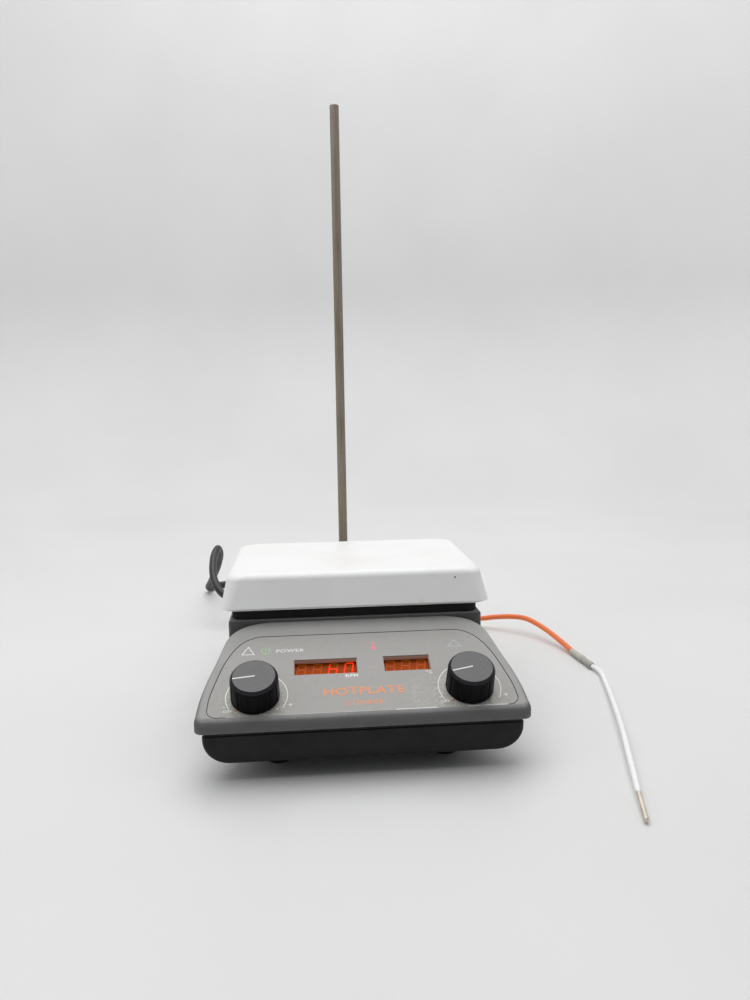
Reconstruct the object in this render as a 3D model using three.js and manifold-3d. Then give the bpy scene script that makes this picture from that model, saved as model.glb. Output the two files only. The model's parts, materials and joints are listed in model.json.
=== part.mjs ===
// A stirring hotplate: a white glass-ceramic plate over a sloping control panel with two knobs
// and two displays, a support rod clamped in the rear deck, a mains cord, and a temperature
// probe that lies beside it on the bench.
// Millimetres, +Z up. Heights below are measured up from the bench and the stirring axis is
// X = Y = 0; the finished group is lowered so that its origin is the centre of the plate's
// upper face.

import * as THREE from "three";
import { mergeVertices } from "three/addons/utils/BufferGeometryUtils.js";
import Module from "manifold-3d";

const wasm = await Module();
wasm.setup();

// ---------------------------------------------------------------- driving dimensions

const GAP = 0.3; // air between neighbouring pieces that are cut to one another

const PLATE = { halfWidth: 89, halfDepth: 63.5, bottom: 85.7, top: 108.5, wall: 4.5 };
const PLATE_FLARE = 5; // how far each side of the skirt leans in on its way up
const PLATE_EDGE = 4; // radius of the plate's upper edge
const PLATE_CORNER = 8; // corner radius in plan, at the lower rim

const HOUSING = { front: -134, rear: 146, bottom: 33, deck: 78, wall: 3 };
const HOUSING_REAR_CORNER = 12;
const DECK_FRONT = -58.7; // front face of the raised rear deck
const FRONT_HALF_WIDTH = 98.2;
const REAR_HALF_WIDTH = 84;
const LIP_CORNER = 7; // corner radius of the front lip in plan
const LIP_ROLL = 3; // radius of the lip's upper edge

const PANEL = { y: -133.5, z: 39.9, slope: THREE.MathUtils.degToRad(26.1), length: 83 };
const OVERLAY_THICKNESS = 0.8;
// Beyond the panel's rounded rear corners the housing drops to a lower ledge.
const NOTCH = { innerX: 64, bendX: 78, bendUp: 79, outerUp: 70, floor: 66.5 };

const TRAY = { bottom: 12.3, top: 30, tongueTop: 36, wall: 2.5, setBack: 4, tongueInset: 4.5 };
const TRAY_BILGE = { width: 16, height: 15 }; // the rounded corners along the tray's sides
const TRAY_END_TUCK = 4; // how far the tray's ends curve under

const KNOB = { x: 63.8, up: 18.8, height: 16.8, baseRadius: 14.4, topRadius: 13.5 };
const KNOBS = { stir: -KNOB.x, heat: KNOB.x };
const POT = { bushRadius: 4.6, shaftRadius: 3, bodyRadius: 8.5, depth: 13, bushTop: 5 };
const POT_SHAFT_TOP = 12.7;
const POT_NUT = { radius: 7.5, top: 2.6 };

const STIR_DISPLAY = { x: -21.75, up: 40.7, width: 39.1, height: 12.8 };
const HEAT_DISPLAY = { x: 28.5, up: 40.8, width: 29, height: 12.8 };
const WINDOW = { thickness: 1, border: 2 }; // glued behind the panel, over the opening's edges
const DISPLAY_DEPTH = 7;
const DISPLAY_BOARD = { width: 115, height: 34, x: -6.5, up: 45 };
const POWER_LIGHT = { x: -58.9, up: 56.6 };
const HEAT_LIGHT = { x: 8.9, up: 57 };
const LIGHT_RADIUS = 2.2;
const BOARD_THICKNESS = 1.6;

const MAGNET_HOLDER = { radius: 35, bottom: 72, top: 82.5, hubBottom: 62, hubRadius: 8 };
const MAGNET = { radius: 7.5, offset: 22, height: 7 };
const MOTOR = { radius: 26, bottom: 27, top: 58.3, shaftRadius: 3 };
const BRACKET = { halfWidth: 45, halfDepth: 25, thickness: 2, flange: 12 };

const PAN = { halfWidth: 86.5, halfDepth: 61, thickness: 0.8, rimTop: 92, rimInset: 5.5 };
const GASKET = { halfWidth: 80, halfDepth: 54.5, width: 5 };
const POST = { x: 66, y: 40, radius: 5 };
const HEATER_TUBE = { radius: 2.5, z: 100, reach: 62, pitch: 24 };

const ROD = { y: 120, radius: 3.8, bottom: 52, top: 463 };
const ROD_SOCKET = { radius: 8, bottom: 50, top: 95, flangeRadius: 13, flangeHeight: 3 };
const CLAMP_SCREW = { z: 89, radius: 2, knobRadius: 7, knobLength: 9, reach: 25 };

const INLET = { x: -52, z: 48, width: 28, height: 20 };
const JACK = { x: 56, z: 46, radius: 6 };
const REAR_VENT = { count: 7, pitch: 8, width: 3, height: 24, bottom: 42 };
const SOLE_VENT = { count: 7, reach: 36, y: 40, width: 4, length: 40 };

const POWER_BOARD = { halfWidth: 49, y: 98, depth: 70, bottom: 22 };
const TRANSFORMER = { x: -29, y: 92, width: 36, depth: 40, height: 32 };
const HEAT_SINK = { x: 28, y: 92, width: 30, depth: 40, height: 25, base: 4, fin: 2.5 };
const BOARD_STANDOFFS = [
  [-40, 70],
  [40, 70],
  [-40, 126],
  [40, 126],
];

const FOOT = { x: 52, frontY: -96, rearY: 120, radius: 9, stubRadius: 3 };
const FOOT_PLACES = [
  [-FOOT.x, FOOT.frontY],
  [FOOT.x, FOOT.frontY],
  [-FOOT.x, FOOT.rearY],
  [FOOT.x, FOOT.rearY],
];
const SCREW = { radius: 1.9, headRadius: 3.6, headHeight: 2, top: 44 };
const SCREW_PLACES = [
  [-54, -60],
  [54, -60],
  [-56, 95],
  [56, 95],
];
const COLUMN = { radius: 5, frontDrop: 6, rearDrop: 2 }; // drops are below the deck

const CORD_RADIUS = 3.7;
const CABLE_RADIUS = 2.4;
const SLEEVE_RADIUS = 1.8;
const FERRULE_RADIUS = 2.75;
const TIP_RADIUS = 1.45;

// ---------------------------------------------------------------- materials

const finish = (color, roughness, metalness = 0) =>
  new THREE.MeshStandardMaterial({ color, roughness, metalness });

const GLASS_CERAMIC = finish(0xf4f3f0, 0.25);
const GREY_PLASTIC = finish(0x77777a, 0.55);
const CHARCOAL_PLASTIC = finish(0x2b2b2e, 0.6);
const OVERLAY_GREY = finish(0x9a9995, 0.45);
const BLACK_PLASTIC = finish(0x0d0d10, 0.45);
const CAP_GREY = finish(0x5a595c, 0.4);
const AMBER_FILTER = finish(0x8a3c18, 0.2);
const SEGMENT_GREY = finish(0x3a2a24, 0.5);
const BOARD_GREEN = finish(0x1d5a34, 0.5);
const GREEN_LIGHT = finish(0x64c878, 0.3);
const RED_LIGHT = finish(0xe0606a, 0.3);
const RUBBER = finish(0x141414, 0.9);
const STEEL = finish(0x9d9b96, 0.35, 1);
const WORN_STEEL = finish(0x736a5c, 0.5, 1);
const ALUMINIUM = finish(0xb9bcc0, 0.4, 1);
const BRASS = finish(0xb08d4a, 0.35, 1);
const CERAMIC_FIBRE = finish(0xe6e2d8, 0.95);
const FERRITE = finish(0x26262a, 0.6);
const ORANGE_CABLE = finish(0xf07332, 0.5);
const WHITE_SLEEVE = finish(0xebebe8, 0.5);
const SHRINK_GREY = finish(0x969187, 0.6);
const CORD_BLACK = finish(0x242424, 0.6);

// ---------------------------------------------------------------- shape helpers

// A closed geometry as a solid that can be cut and joined.
function solid(geometry) {
  const bare = geometry.clone();
  bare.deleteAttribute("normal");
  bare.deleteAttribute("uv");
  const merged = mergeVertices(bare, 1e-4);
  const vertProperties = merged.attributes.position.array;
  const triVerts = new Uint32Array(merged.index.array);
  return new wasm.Manifold(new wasm.Mesh({ numProp: 3, vertProperties, triVerts }));
}

// The geometry of a solid after its cuts and joins.
function geometryOf(body) {
  const { vertProperties, triVerts } = body.getMesh();
  const geometry = new THREE.BufferGeometry();
  geometry.setAttribute("position", new THREE.BufferAttribute(vertProperties, 3));
  geometry.setIndex(new THREE.BufferAttribute(triVerts, 1));
  geometry.computeVertexNormals();
  return geometry;
}

const cut = (body, ...tools) => tools.reduce((left, tool) => left.subtract(solid(tool)), body);
const join = (body, ...others) => others.reduce((whole, other) => whole.add(solid(other)), body);

const vectors = (pairs) => pairs.map(([x, y]) => new THREE.Vector2(x, y));

// A body of revolution about +Z from a profile of [radius, height] pairs.
const turned = (profile, segments = 16) =>
  new THREE.LatheGeometry(vectors(profile), segments).rotateX(Math.PI / 2);

// Evenly spaced numbers from `first` to `last`.
const levels = (first, last, count) =>
  Array.from({ length: count }, (_, i) => first + ((last - first) * i) / (count - 1));

// A plain round bar standing on `bottom`.
const bar = (radius, bottom, top, segments = 12) =>
  turned([[0, bottom], [radius, bottom], [radius, top], [0, top]], segments);

// A round bar lying along +Y from `start` to `end`.
const barAlongY = (radius, start, end, segments = 12) =>
  bar(radius, -end, -start, segments).rotateX(Math.PI / 2);

// A rectangular block centred on x and y, standing on `bottom`.
const block = (width, depth, height, x, y, bottom) =>
  new THREE.BoxGeometry(width, depth, height).translate(x, y, bottom + height / 2);

// A flat shape given thickness from `bottom` to `top`.
const slab = (shape, bottom, top, curveSegments = 2) =>
  new THREE.ExtrudeGeometry(shape, {
    depth: top - bottom,
    bevelEnabled: false,
    curveSegments,
  }).translate(0, 0, bottom);

function roundedRectangle(halfWidth, halfDepth, radius) {
  const x = halfWidth - radius;
  const y = halfDepth - radius;
  return new THREE.Shape()
    .moveTo(x, -halfDepth)
    .absarc(x, -y, radius, -Math.PI / 2, 0)
    .absarc(x, y, radius, 0, Math.PI / 2)
    .absarc(-x, y, radius, Math.PI / 2, Math.PI)
    .absarc(-x, -y, radius, Math.PI, 1.5 * Math.PI);
}

const disc = (radius) => new THREE.Shape().absarc(0, 0, radius, 0, 2 * Math.PI);

// The same anticlockwise outline with every point moved inwards by a distance.
const inset = (outline, distance) =>
  outline.map((point, i) => {
    const before = outline.at(i - 1);
    const after = outline[(i + 1) % outline.length];
    const along = after.clone().sub(before).normalize();
    return new THREE.Vector2(point.x - along.y * distance, point.y + along.x * distance);
  });

// An outline's points without the repeated last one.
function pointsOf(shape, divisions) {
  const points = shape.getPoints(divisions);
  return points.filter((point, i) => point.distanceTo(points.at(i - 1)) > 1e-3);
}

// A symmetrical anticlockwise outline from its right-hand side, drawn from front to back.
function mirroredOutline(rightSide, divisions) {
  const right = pointsOf(rightSide, divisions);
  const left = right.map(({ x, y }) => new THREE.Vector2(-x, y)).reverse();
  return [...right, ...left];
}

// One closed skin through level rings of equally many points, each ring given as
// { z, outline }, from the lowest to the highest, with a flat cap at both ends.
function loft(rings) {
  const count = rings[0].outline.length;
  const top = (rings.length - 1) * count;
  const positions = rings.flatMap(({ z, outline }) => outline.flatMap(({ x, y }) => [x, y, z]));
  const index = [];
  for (let ring = 0; ring < rings.length - 1; ring++) {
    for (let i = 0; i < count; i++) {
      const a = ring * count + i;
      const b = ring * count + ((i + 1) % count);
      index.push(a, b, b + count, a, b + count, a + count);
    }
  }
  for (const corners of THREE.ShapeUtils.triangulateShape([...rings[0].outline], [])) {
    const clockwise = THREE.ShapeUtils.isClockWise(corners.map((i) => rings[0].outline[i]));
    const [a, b, c] = clockwise ? corners.toReversed() : corners;
    index.push(a, c, b, top + a, top + b, top + c);
  }
  const geometry = new THREE.BufferGeometry();
  geometry.setAttribute("position", new THREE.Float32BufferAttribute(positions, 3));
  geometry.setIndex(index);
  geometry.computeVertexNormals();
  return geometry;
}

// A round cable along a smooth curve through [x, y, z] points. three.js divides a full circle
// into twice its curveSegments.
const cable = (path, radius, steps, sides = 8) =>
  new THREE.ExtrudeGeometry(disc(radius), {
    steps,
    curveSegments: sides / 2,
    extrudePath: new THREE.CatmullRomCurve3(path.map(([x, y, z]) => new THREE.Vector3(x, y, z))),
  });

function piece(name, geometry, material, parent) {
  const mesh = new THREE.Mesh(geometry, material);
  mesh.name = name;
  parent.add(mesh);
  return mesh;
}

// ---------------------------------------------------------------- the panel's own frame

// In the panel's frame x runs across, y runs up the slope from the front lip and z stands
// square to the panel's surface.
const panelFrame = new THREE.Matrix4()
  .makeRotationX(PANEL.slope)
  .setPosition(0, PANEL.y, PANEL.z);
const onPanel = (geometry) => geometry.applyMatrix4(panelFrame);
const panelY = (up) => PANEL.y + up * Math.cos(PANEL.slope);
const panelZ = (up) => PANEL.z + up * Math.sin(PANEL.slope);

// ---------------------------------------------------------------- housing

// The housing in plan: a wide front lip whose sides sweep in to the narrower rear box.
function housingPlan() {
  const lipY = HOUSING.front + LIP_CORNER;
  const rearX = REAR_HALF_WIDTH - HOUSING_REAR_CORNER;
  const rearY = HOUSING.rear - HOUSING_REAR_CORNER;
  const sweep = vectors([
    [96.6, panelY(20)],
    [93.5, panelY(34)],
    [89.3, panelY(48)],
    [85.6, panelY(61)],
    [REAR_HALF_WIDTH, panelY(72)],
  ]);
  const rightSide = new THREE.Path()
    .moveTo(FRONT_HALF_WIDTH - LIP_CORNER, HOUSING.front)
    .absarc(FRONT_HALF_WIDTH - LIP_CORNER, lipY, LIP_CORNER, -Math.PI / 2, 0)
    .splineThru(sweep)
    .lineTo(REAR_HALF_WIDTH, rearY)
    .absarc(rearX, rearY, HOUSING_REAR_CORNER, 0, Math.PI / 2);
  return mirroredOutline(rightSide, 2);
}

const planOutline = housingPlan();

// The housing seen from the side, with every face `wall` further in and the bottom at `floor`:
// the rolled front lip, the sloping panel, the step up to the deck and the upright rear.
function housingSide(wall, floor) {
  const front = HOUSING.front + wall;
  const drop = wall / Math.cos(PANEL.slope);
  const cornerZ = PANEL.z + (front - PANEL.y) * Math.tan(PANEL.slope) - drop;
  const top = HOUSING.deck - wall;
  const side = new THREE.Shape()
    .moveTo(front, floor)
    .lineTo(HOUSING.rear - wall, floor)
    .lineTo(HOUSING.rear - wall, top)
    .lineTo(DECK_FRONT + wall, top)
    .lineTo(DECK_FRONT + wall, panelZ(PANEL.length) - drop)
    .lineTo(panelY(PANEL.length), panelZ(PANEL.length) - drop)
    .lineTo(
      front + LIP_ROLL * Math.cos(PANEL.slope),
      cornerZ + LIP_ROLL * Math.sin(PANEL.slope),
    )
    .quadraticCurveTo(front, cornerZ, front, cornerZ - LIP_ROLL);
  const acrossX = new THREE.Matrix4().makeBasis(
    new THREE.Vector3(0, 1, 0),
    new THREE.Vector3(0, 0, 1),
    new THREE.Vector3(1, 0, 0),
  );
  const reach = FRONT_HALF_WIDTH + 5;
  return slab(side, -reach, reach).applyMatrix4(acrossX);
}

// The cut beyond the panel's rounded rear corner, grown by `grow`, on the side 1 or -1.
function cornerNotch(side, grow) {
  const outer = side * (REAR_HALF_WIDTH + 3);
  const outerY = panelY(NOTCH.outerUp) - grow;
  const bendY = panelY(NOTCH.bendUp) - grow;
  const rear = DECK_FRONT + grow;
  const shape = new THREE.Shape()
    .moveTo(outer, outerY)
    .lineTo(outer, rear)
    .lineTo(side * (NOTCH.innerX - grow), rear)
    .quadraticCurveTo(
      side * (NOTCH.bendX - grow),
      bendY,
      side * (REAR_HALF_WIDTH - grow),
      outerY,
    );
  return slab(shape, NOTCH.floor - grow, HOUSING.deck + 5);
}

const cornerNotches = (grow) => [cornerNotch(1, grow), cornerNotch(-1, grow)];

function housingBody(wall, floor) {
  const plan = slab(new THREE.Shape(inset(planOutline, wall)), floor, HOUSING.deck + 1);
  return solid(plan).intersect(solid(housingSide(wall, floor)));
}

// The overlay's outline on the panel, moved inwards by `margin`.
function overlayOutline(margin = 0) {
  const side = vectors([
    [90.3, 19],
    [87.7, 31],
    [83.6, 46],
    [78, 58],
    [71.5, 65.5],
    [64, 69],
  ]);
  const rightSide = new THREE.Path()
    .moveTo(85, 3.8)
    .quadraticCurveTo(91, 3.8, 91, 9.5)
    .splineThru(side);
  return inset(mirroredOutline(rightSide, 3), margin);
}

// A round opening through the panel, and a straight-sided block on it.
const panelHole = (radius, x, up) => bar(radius, -9, 4).translate(x, up, 0);
const panelWindow = ({ x, up, width, height }, border, bottom, top) =>
  block(width + 2 * border, height + 2 * border, top - bottom, x, up, bottom);

const potHoles = () =>
  Object.values(KNOBS).map((x) => panelHole(POT.bushRadius + GAP, x, KNOB.up));

function upperHousing() {
  const wall = HOUSING.wall;
  const inside = cut(housingBody(wall, HOUSING.bottom - 5), ...cornerNotches(wall));
  const columns = SCREW_PLACES.map(([x, y]) => {
    const top = HOUSING.deck - (y < 0 ? COLUMN.frontDrop : COLUMN.rearDrop);
    return bar(COLUMN.radius, TRAY.tongueTop + 1, top).translate(x, y, 0);
  });
  const shell = join(housingBody(0, HOUSING.bottom).subtract(inside), ...columns);

  const recess = slab(new THREE.Shape(overlayOutline(-GAP)), -OVERLAY_THICKNESS - GAP, 5);
  const panelCuts = [
    recess,
    panelWindow(STIR_DISPLAY, 0, -9, 4),
    panelWindow(HEAT_DISPLAY, 0, -9, 4),
    panelHole(LIGHT_RADIUS + GAP, POWER_LIGHT.x, POWER_LIGHT.up),
    panelHole(LIGHT_RADIUS + GAP, HEAT_LIGHT.x, HEAT_LIGHT.up),
    ...potHoles(),
  ].map(onPanel);

  const rearWall = HOUSING.rear - wall / 2;
  const through = wall + 2;
  const inletWidth = INLET.width + 2 * GAP;
  const inletHeight = INLET.height + 2 * GAP;
  const inletBottom = INLET.z - inletHeight / 2;
  const jackHole = barAlongY(JACK.radius - 1 + GAP, HOUSING.rear - 6, HOUSING.rear + 2);
  const ventReach = ((REAR_VENT.count - 1) / 2) * REAR_VENT.pitch;
  const rearCuts = [
    block(inletWidth, through, inletHeight, INLET.x, rearWall, inletBottom),
    jackHole.translate(JACK.x, 0, JACK.z),
    ...levels(-ventReach, ventReach, REAR_VENT.count).map((x) =>
      block(REAR_VENT.width, through, REAR_VENT.height, x, rearWall, REAR_VENT.bottom),
    ),
  ];

  const screwHoles = SCREW_PLACES.map(([x, y]) =>
    bar(SCREW.radius + GAP, 30, SCREW.top + 1, 8).translate(x, y, 0),
  );
  const deckCuts = [
    bar(MAGNET_HOLDER.radius + 3, HOUSING.deck - 10, HOUSING.deck + 5, 24),
    bar(ROD_SOCKET.radius + GAP, HOUSING.deck - 10, HOUSING.deck + 5).translate(0, ROD.y, 0),
  ];
  return cut(shell, ...cornerNotches(0), ...panelCuts, ...rearCuts, ...screwHoles, ...deckCuts);
}

// The tray's outline at a height: the housing's plan set back, with the sides rounding under
// and the ends tucked in a little. The inside is a further `wall` in.
function trayRing(z, wall = 0) {
  const rise = Math.max(0, (TRAY.bottom + TRAY_BILGE.height - z) / TRAY_BILGE.height);
  const under = 1 - Math.sqrt(Math.max(0, 1 - rise * rise));
  const middle = (HOUSING.front + HOUSING.rear) / 2;
  const halfDepth = (HOUSING.rear - HOUSING.front) / 2;
  const acrossScale = 1 - (TRAY_BILGE.width * under) / FRONT_HALF_WIDTH;
  const alongScale = 1 - (TRAY_END_TUCK * under) / halfDepth;
  const outline = inset(planOutline, TRAY.setBack + wall).map(
    ({ x, y }) => new THREE.Vector2(x * acrossScale, middle + (y - middle) * alongScale),
  );
  return { z, outline };
}

function baseTray() {
  const curve = levels(0, 1, 4).map((t) => TRAY.bottom + TRAY_BILGE.height * t * t);
  const outside = loft([...curve.map((z) => trayRing(z)), trayRing(TRAY.top)]);
  const floor = TRAY.bottom + TRAY.wall;
  const insideLevels = levels(0, 1, 3).map((t) => floor + (TRAY_BILGE.height - TRAY.wall) * t * t);
  const inside = loft([...insideLevels, TRAY.tongueTop + 3].map((z) => trayRing(z, TRAY.wall)));
  const tongueOutline = inset(planOutline, TRAY.tongueInset);
  const tongue = slab(new THREE.Shape(tongueOutline), TRAY.top - 1, TRAY.tongueTop);
  const shell = join(solid(outside), tongue).subtract(solid(inside));

  const bosses = SCREW_PLACES.map(([x, y]) =>
    bar(COLUMN.radius, TRAY.bottom + 0.5, TRAY.tongueTop).translate(x, y, 0),
  );
  const standoffs = BOARD_STANDOFFS.map(([x, y]) =>
    bar(3, TRAY.bottom + 0.5, POWER_BOARD.bottom, 8).translate(x, y, 0),
  );
  const screwHoles = SCREW_PLACES.flatMap(([x, y]) => [
    bar(SCREW.radius + GAP, 0, TRAY.tongueTop + 2, 8).translate(x, y, 0),
    bar(SCREW.headRadius + GAP, 0, TRAY.bottom + SCREW.headHeight + 1, 8).translate(x, y, 0),
  ]);
  const footHoles = FOOT_PLACES.map(([x, y]) =>
    bar(FOOT.stubRadius + GAP, 5, TRAY.bottom + 6).translate(x, y, 0),
  );
  const { count, reach, y: ventY, width, length } = SOLE_VENT;
  const vents = levels(-reach, reach, count).map((x) =>
    block(width, length, 12, x, ventY, TRAY.bottom - 5),
  );
  return cut(join(shell, ...bosses, ...standoffs), ...screwHoles, ...footHoles, ...vents);
}

function addHousing(parent) {
  piece("upper_housing", geometryOf(upperHousing()), GREY_PLASTIC, parent);
  piece("base_tray", geometryOf(baseTray()), CHARCOAL_PLASTIC, parent);

  FOOT_PLACES.forEach(([x, y], i) => {
    const foot = turned(
      [
        [0, 0],
        [FOOT.radius - 1.5, 0],
        [FOOT.radius, 1.5],
        [FOOT.radius, TRAY.bottom],
        [FOOT.stubRadius, TRAY.bottom],
        [FOOT.stubRadius, TRAY.bottom + 4],
        [0, TRAY.bottom + 4],
      ],
      16,
    );
    piece(`foot_${i + 1}`, foot, RUBBER, parent).position.set(x, y, 0);
  });

  SCREW_PLACES.forEach(([x, y], i) => {
    const headTop = TRAY.bottom + SCREW.headHeight + 0.5;
    const screw = turned(
      [
        [0, headTop - SCREW.headHeight],
        [SCREW.headRadius, headTop - SCREW.headHeight],
        [SCREW.headRadius, headTop],
        [SCREW.radius, headTop],
        [SCREW.radius, SCREW.top],
        [0, SCREW.top],
      ],
      8,
    );
    piece(`base_screw_${i + 1}`, screw, STEEL, parent).position.set(x, y, 0);
  });
}

// ---------------------------------------------------------------- hot plate

function plateRing(z, inwards) {
  const shape = roundedRectangle(
    PLATE.halfWidth - inwards,
    PLATE.halfDepth - inwards,
    PLATE_CORNER + inwards / 5,
  );
  return { z, outline: pointsOf(shape, 3) };
}

// How far the skirt has leant in at a height.
const skirtLean = (z) => (PLATE_FLARE * (z - PLATE.bottom)) / (PLATE.top - PLATE.bottom);

function topPlate() {
  const edgeStart = PLATE.top - PLATE_EDGE;
  const rounding = levels(0, Math.PI / 2, 4).map((angle) =>
    plateRing(
      edgeStart + PLATE_EDGE * Math.sin(angle),
      skirtLean(edgeStart) + PLATE_EDGE * (1 - Math.cos(angle)),
    ),
  );
  const outside = loft([plateRing(PLATE.bottom, 0), ...rounding]);
  const ceiling = PLATE.top - PLATE.wall;
  const inside = loft([
    plateRing(PLATE.bottom - 5, PLATE.wall),
    plateRing(PLATE.bottom, PLATE.wall),
    plateRing(ceiling - 2, PLATE.wall + skirtLean(ceiling)),
    plateRing(ceiling, PLATE.wall + skirtLean(ceiling) + 2),
  ]);
  return cut(solid(outside), inside);
}

// A thin steel pan: a floor that the skirt stands on, and an upturned rim inside the skirt.
function heatShieldPan() {
  const { halfWidth, halfDepth, thickness, rimTop, rimInset } = PAN;
  const outline = roundedRectangle(halfWidth, halfDepth, 8);
  const floor = slab(outline, PLATE.bottom - thickness, PLATE.bottom);
  const rim = (inwards, bottom, top) =>
    slab(
      roundedRectangle(halfWidth - rimInset - inwards, halfDepth - rimInset - inwards, 6),
      bottom,
      top,
    );
  const walls = cut(solid(rim(0, PLATE.bottom - 0.2, rimTop)), rim(1.2, PLATE.bottom, rimTop + 2));
  return solid(floor).add(walls);
}

function heaterPath() {
  const { reach, pitch, z } = HEATER_TUBE;
  const path = [];
  for (let row = 0; row < 4; row++) {
    const y = (row - 1.5) * pitch;
    const towards = row % 2 === 0 ? 1 : -1;
    path.push([-towards * reach, y, z], [0, y, z], [towards * reach, y, z]);
    if (row < 3) path.push([towards * (reach + pitch / 3), y + pitch / 2, z]);
  }
  return path;
}

function addHotPlate(parent) {
  piece("top_plate", geometryOf(topPlate()), GLASS_CERAMIC, parent);
  piece("heat_shield_pan", geometryOf(heatShieldPan()), STEEL, parent);
  piece("heater_element", cable(heaterPath(), HEATER_TUBE.radius, 44, 6), STEEL, parent);

  const padInset = PAN.rimInset + 2;
  const pad = roundedRectangle(PAN.halfWidth - padInset, PAN.halfDepth - padInset, 5);
  const padTop = HEATER_TUBE.z - HEATER_TUBE.radius - GAP;
  piece("insulation_pad", slab(pad, PLATE.bottom + GAP, padTop), CERAMIC_FIBRE, parent);
  piece("plate_sensor", bar(3, padTop + GAP, PLATE.top - PLATE.wall - GAP), STEEL, parent);

  const seat = PLATE.bottom - PAN.thickness;
  const ring = roundedRectangle(GASKET.halfWidth, GASKET.halfDepth, 8);
  ring.holes.push(
    roundedRectangle(GASKET.halfWidth - GASKET.width, GASKET.halfDepth - GASKET.width, 5),
  );
  piece("plate_gasket", slab(ring, HOUSING.deck, seat), RUBBER, parent);

  const corners = [[-1, -1], [1, -1], [-1, 1], [1, 1]];
  corners.forEach(([sideX, sideY], i) => {
    const post = piece(`plate_post_${i + 1}`, bar(POST.radius, HOUSING.deck, seat), STEEL, parent);
    post.position.set(sideX * POST.x, sideY * POST.y, 0);
  });
}

// ---------------------------------------------------------------- stirring drive

function addStirringDrive(parent) {
  const bore = MOTOR.shaftRadius + GAP;
  const shaftBottom = 40;
  const shaftTop = MAGNET_HOLDER.bottom + 2;

  const can = turned([
    [0, MOTOR.bottom],
    [MOTOR.radius - 2, MOTOR.bottom],
    [MOTOR.radius, MOTOR.bottom + 2],
    [MOTOR.radius, MOTOR.top],
    [bore, MOTOR.top],
    [bore, shaftBottom - GAP],
    [0, shaftBottom - GAP],
  ]);
  piece("motor_can", can, STEEL, parent);
  piece("motor_shaft", bar(MOTOR.shaftRadius, shaftBottom, shaftTop), STEEL, parent);

  const { halfWidth, halfDepth, thickness, flange } = BRACKET;
  const floor = TRAY.bottom + TRAY.wall;
  const height = MOTOR.top + thickness - floor;
  const legs = [-1, 1].flatMap((side) => [
    block(thickness, 2 * halfDepth, height, side * (halfWidth - thickness / 2), 0, floor),
    block(flange, 2 * halfDepth, thickness, side * (halfWidth + flange / 2 - thickness), 0, floor),
  ]);
  const bridge = solid(block(2 * halfWidth, 2 * halfDepth, thickness, 0, 0, MOTOR.top));
  const shaftHole = bar(MOTOR.shaftRadius + 3, MOTOR.top - 2, MOTOR.top + 5);
  piece("motor_bracket", geometryOf(cut(join(bridge, ...legs), shaftHole)), STEEL, parent);

  const { radius, bottom, top, hubBottom, hubRadius } = MAGNET_HOLDER;
  const holder = turned(
    [
      [0, shaftTop + GAP],
      [bore, shaftTop + GAP],
      [bore, hubBottom],
      [hubRadius, hubBottom],
      [hubRadius, bottom],
      [radius, bottom],
      [radius, top],
      [0, top],
    ],
    24,
  );
  const magnetBottom = top - MAGNET.height;
  const pockets = [-1, 1].map((side) =>
    bar(MAGNET.radius + GAP, magnetBottom - GAP, top + 5).translate(side * MAGNET.offset, 0, 0),
  );
  piece("magnet_holder", geometryOf(cut(solid(holder), ...pockets)), BLACK_PLASTIC, parent);
  const poles = { north: -1, south: 1 };
  for (const [pole, side] of Object.entries(poles)) {
    const magnet = bar(MAGNET.radius, magnetBottom, top);
    piece(`drive_magnet_${pole}`, magnet, FERRITE, parent).position.x = side * MAGNET.offset;
  }
}

// ---------------------------------------------------------------- control panel

function addDisplays(panel) {
  const overlay = cut(
    solid(slab(new THREE.Shape(overlayOutline()), -OVERLAY_THICKNESS, 0)),
    panelWindow(STIR_DISPLAY, 0, -3, 2),
    panelWindow(HEAT_DISPLAY, 0, -3, 2),
    ...potHoles(),
  );
  piece("panel_overlay", geometryOf(overlay), OVERLAY_GREY, panel);

  const windowOuter = -HOUSING.wall - GAP;
  const windowInner = windowOuter - WINDOW.thickness;
  const displayOuter = windowInner - GAP;
  const displayInner = displayOuter - DISPLAY_DEPTH;
  const boardOuter = displayInner - GAP;
  for (const [name, display] of Object.entries({ stir: STIR_DISPLAY, heat: HEAT_DISPLAY })) {
    const window = panelWindow(display, WINDOW.border, windowInner, windowOuter);
    piece(`${name}_window`, window, AMBER_FILTER, panel);
    const module = panelWindow(display, 1, displayInner, displayOuter);
    piece(`${name}_display`, module, SEGMENT_GREY, panel);
  }
  const board = panelWindow(DISPLAY_BOARD, 0, boardOuter - BOARD_THICKNESS, boardOuter);
  piece("display_board", board, BOARD_GREEN, panel);

  const lightTop = -OVERLAY_THICKNESS - GAP;
  const light = () => bar(LIGHT_RADIUS, boardOuter + GAP, lightTop);
  piece("power_light", light(), GREEN_LIGHT, panel).position.set(POWER_LIGHT.x, POWER_LIGHT.up, 0);
  piece("heat_light", light(), RED_LIGHT, panel).position.set(HEAT_LIGHT.x, HEAT_LIGHT.up, 0);
}

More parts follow.
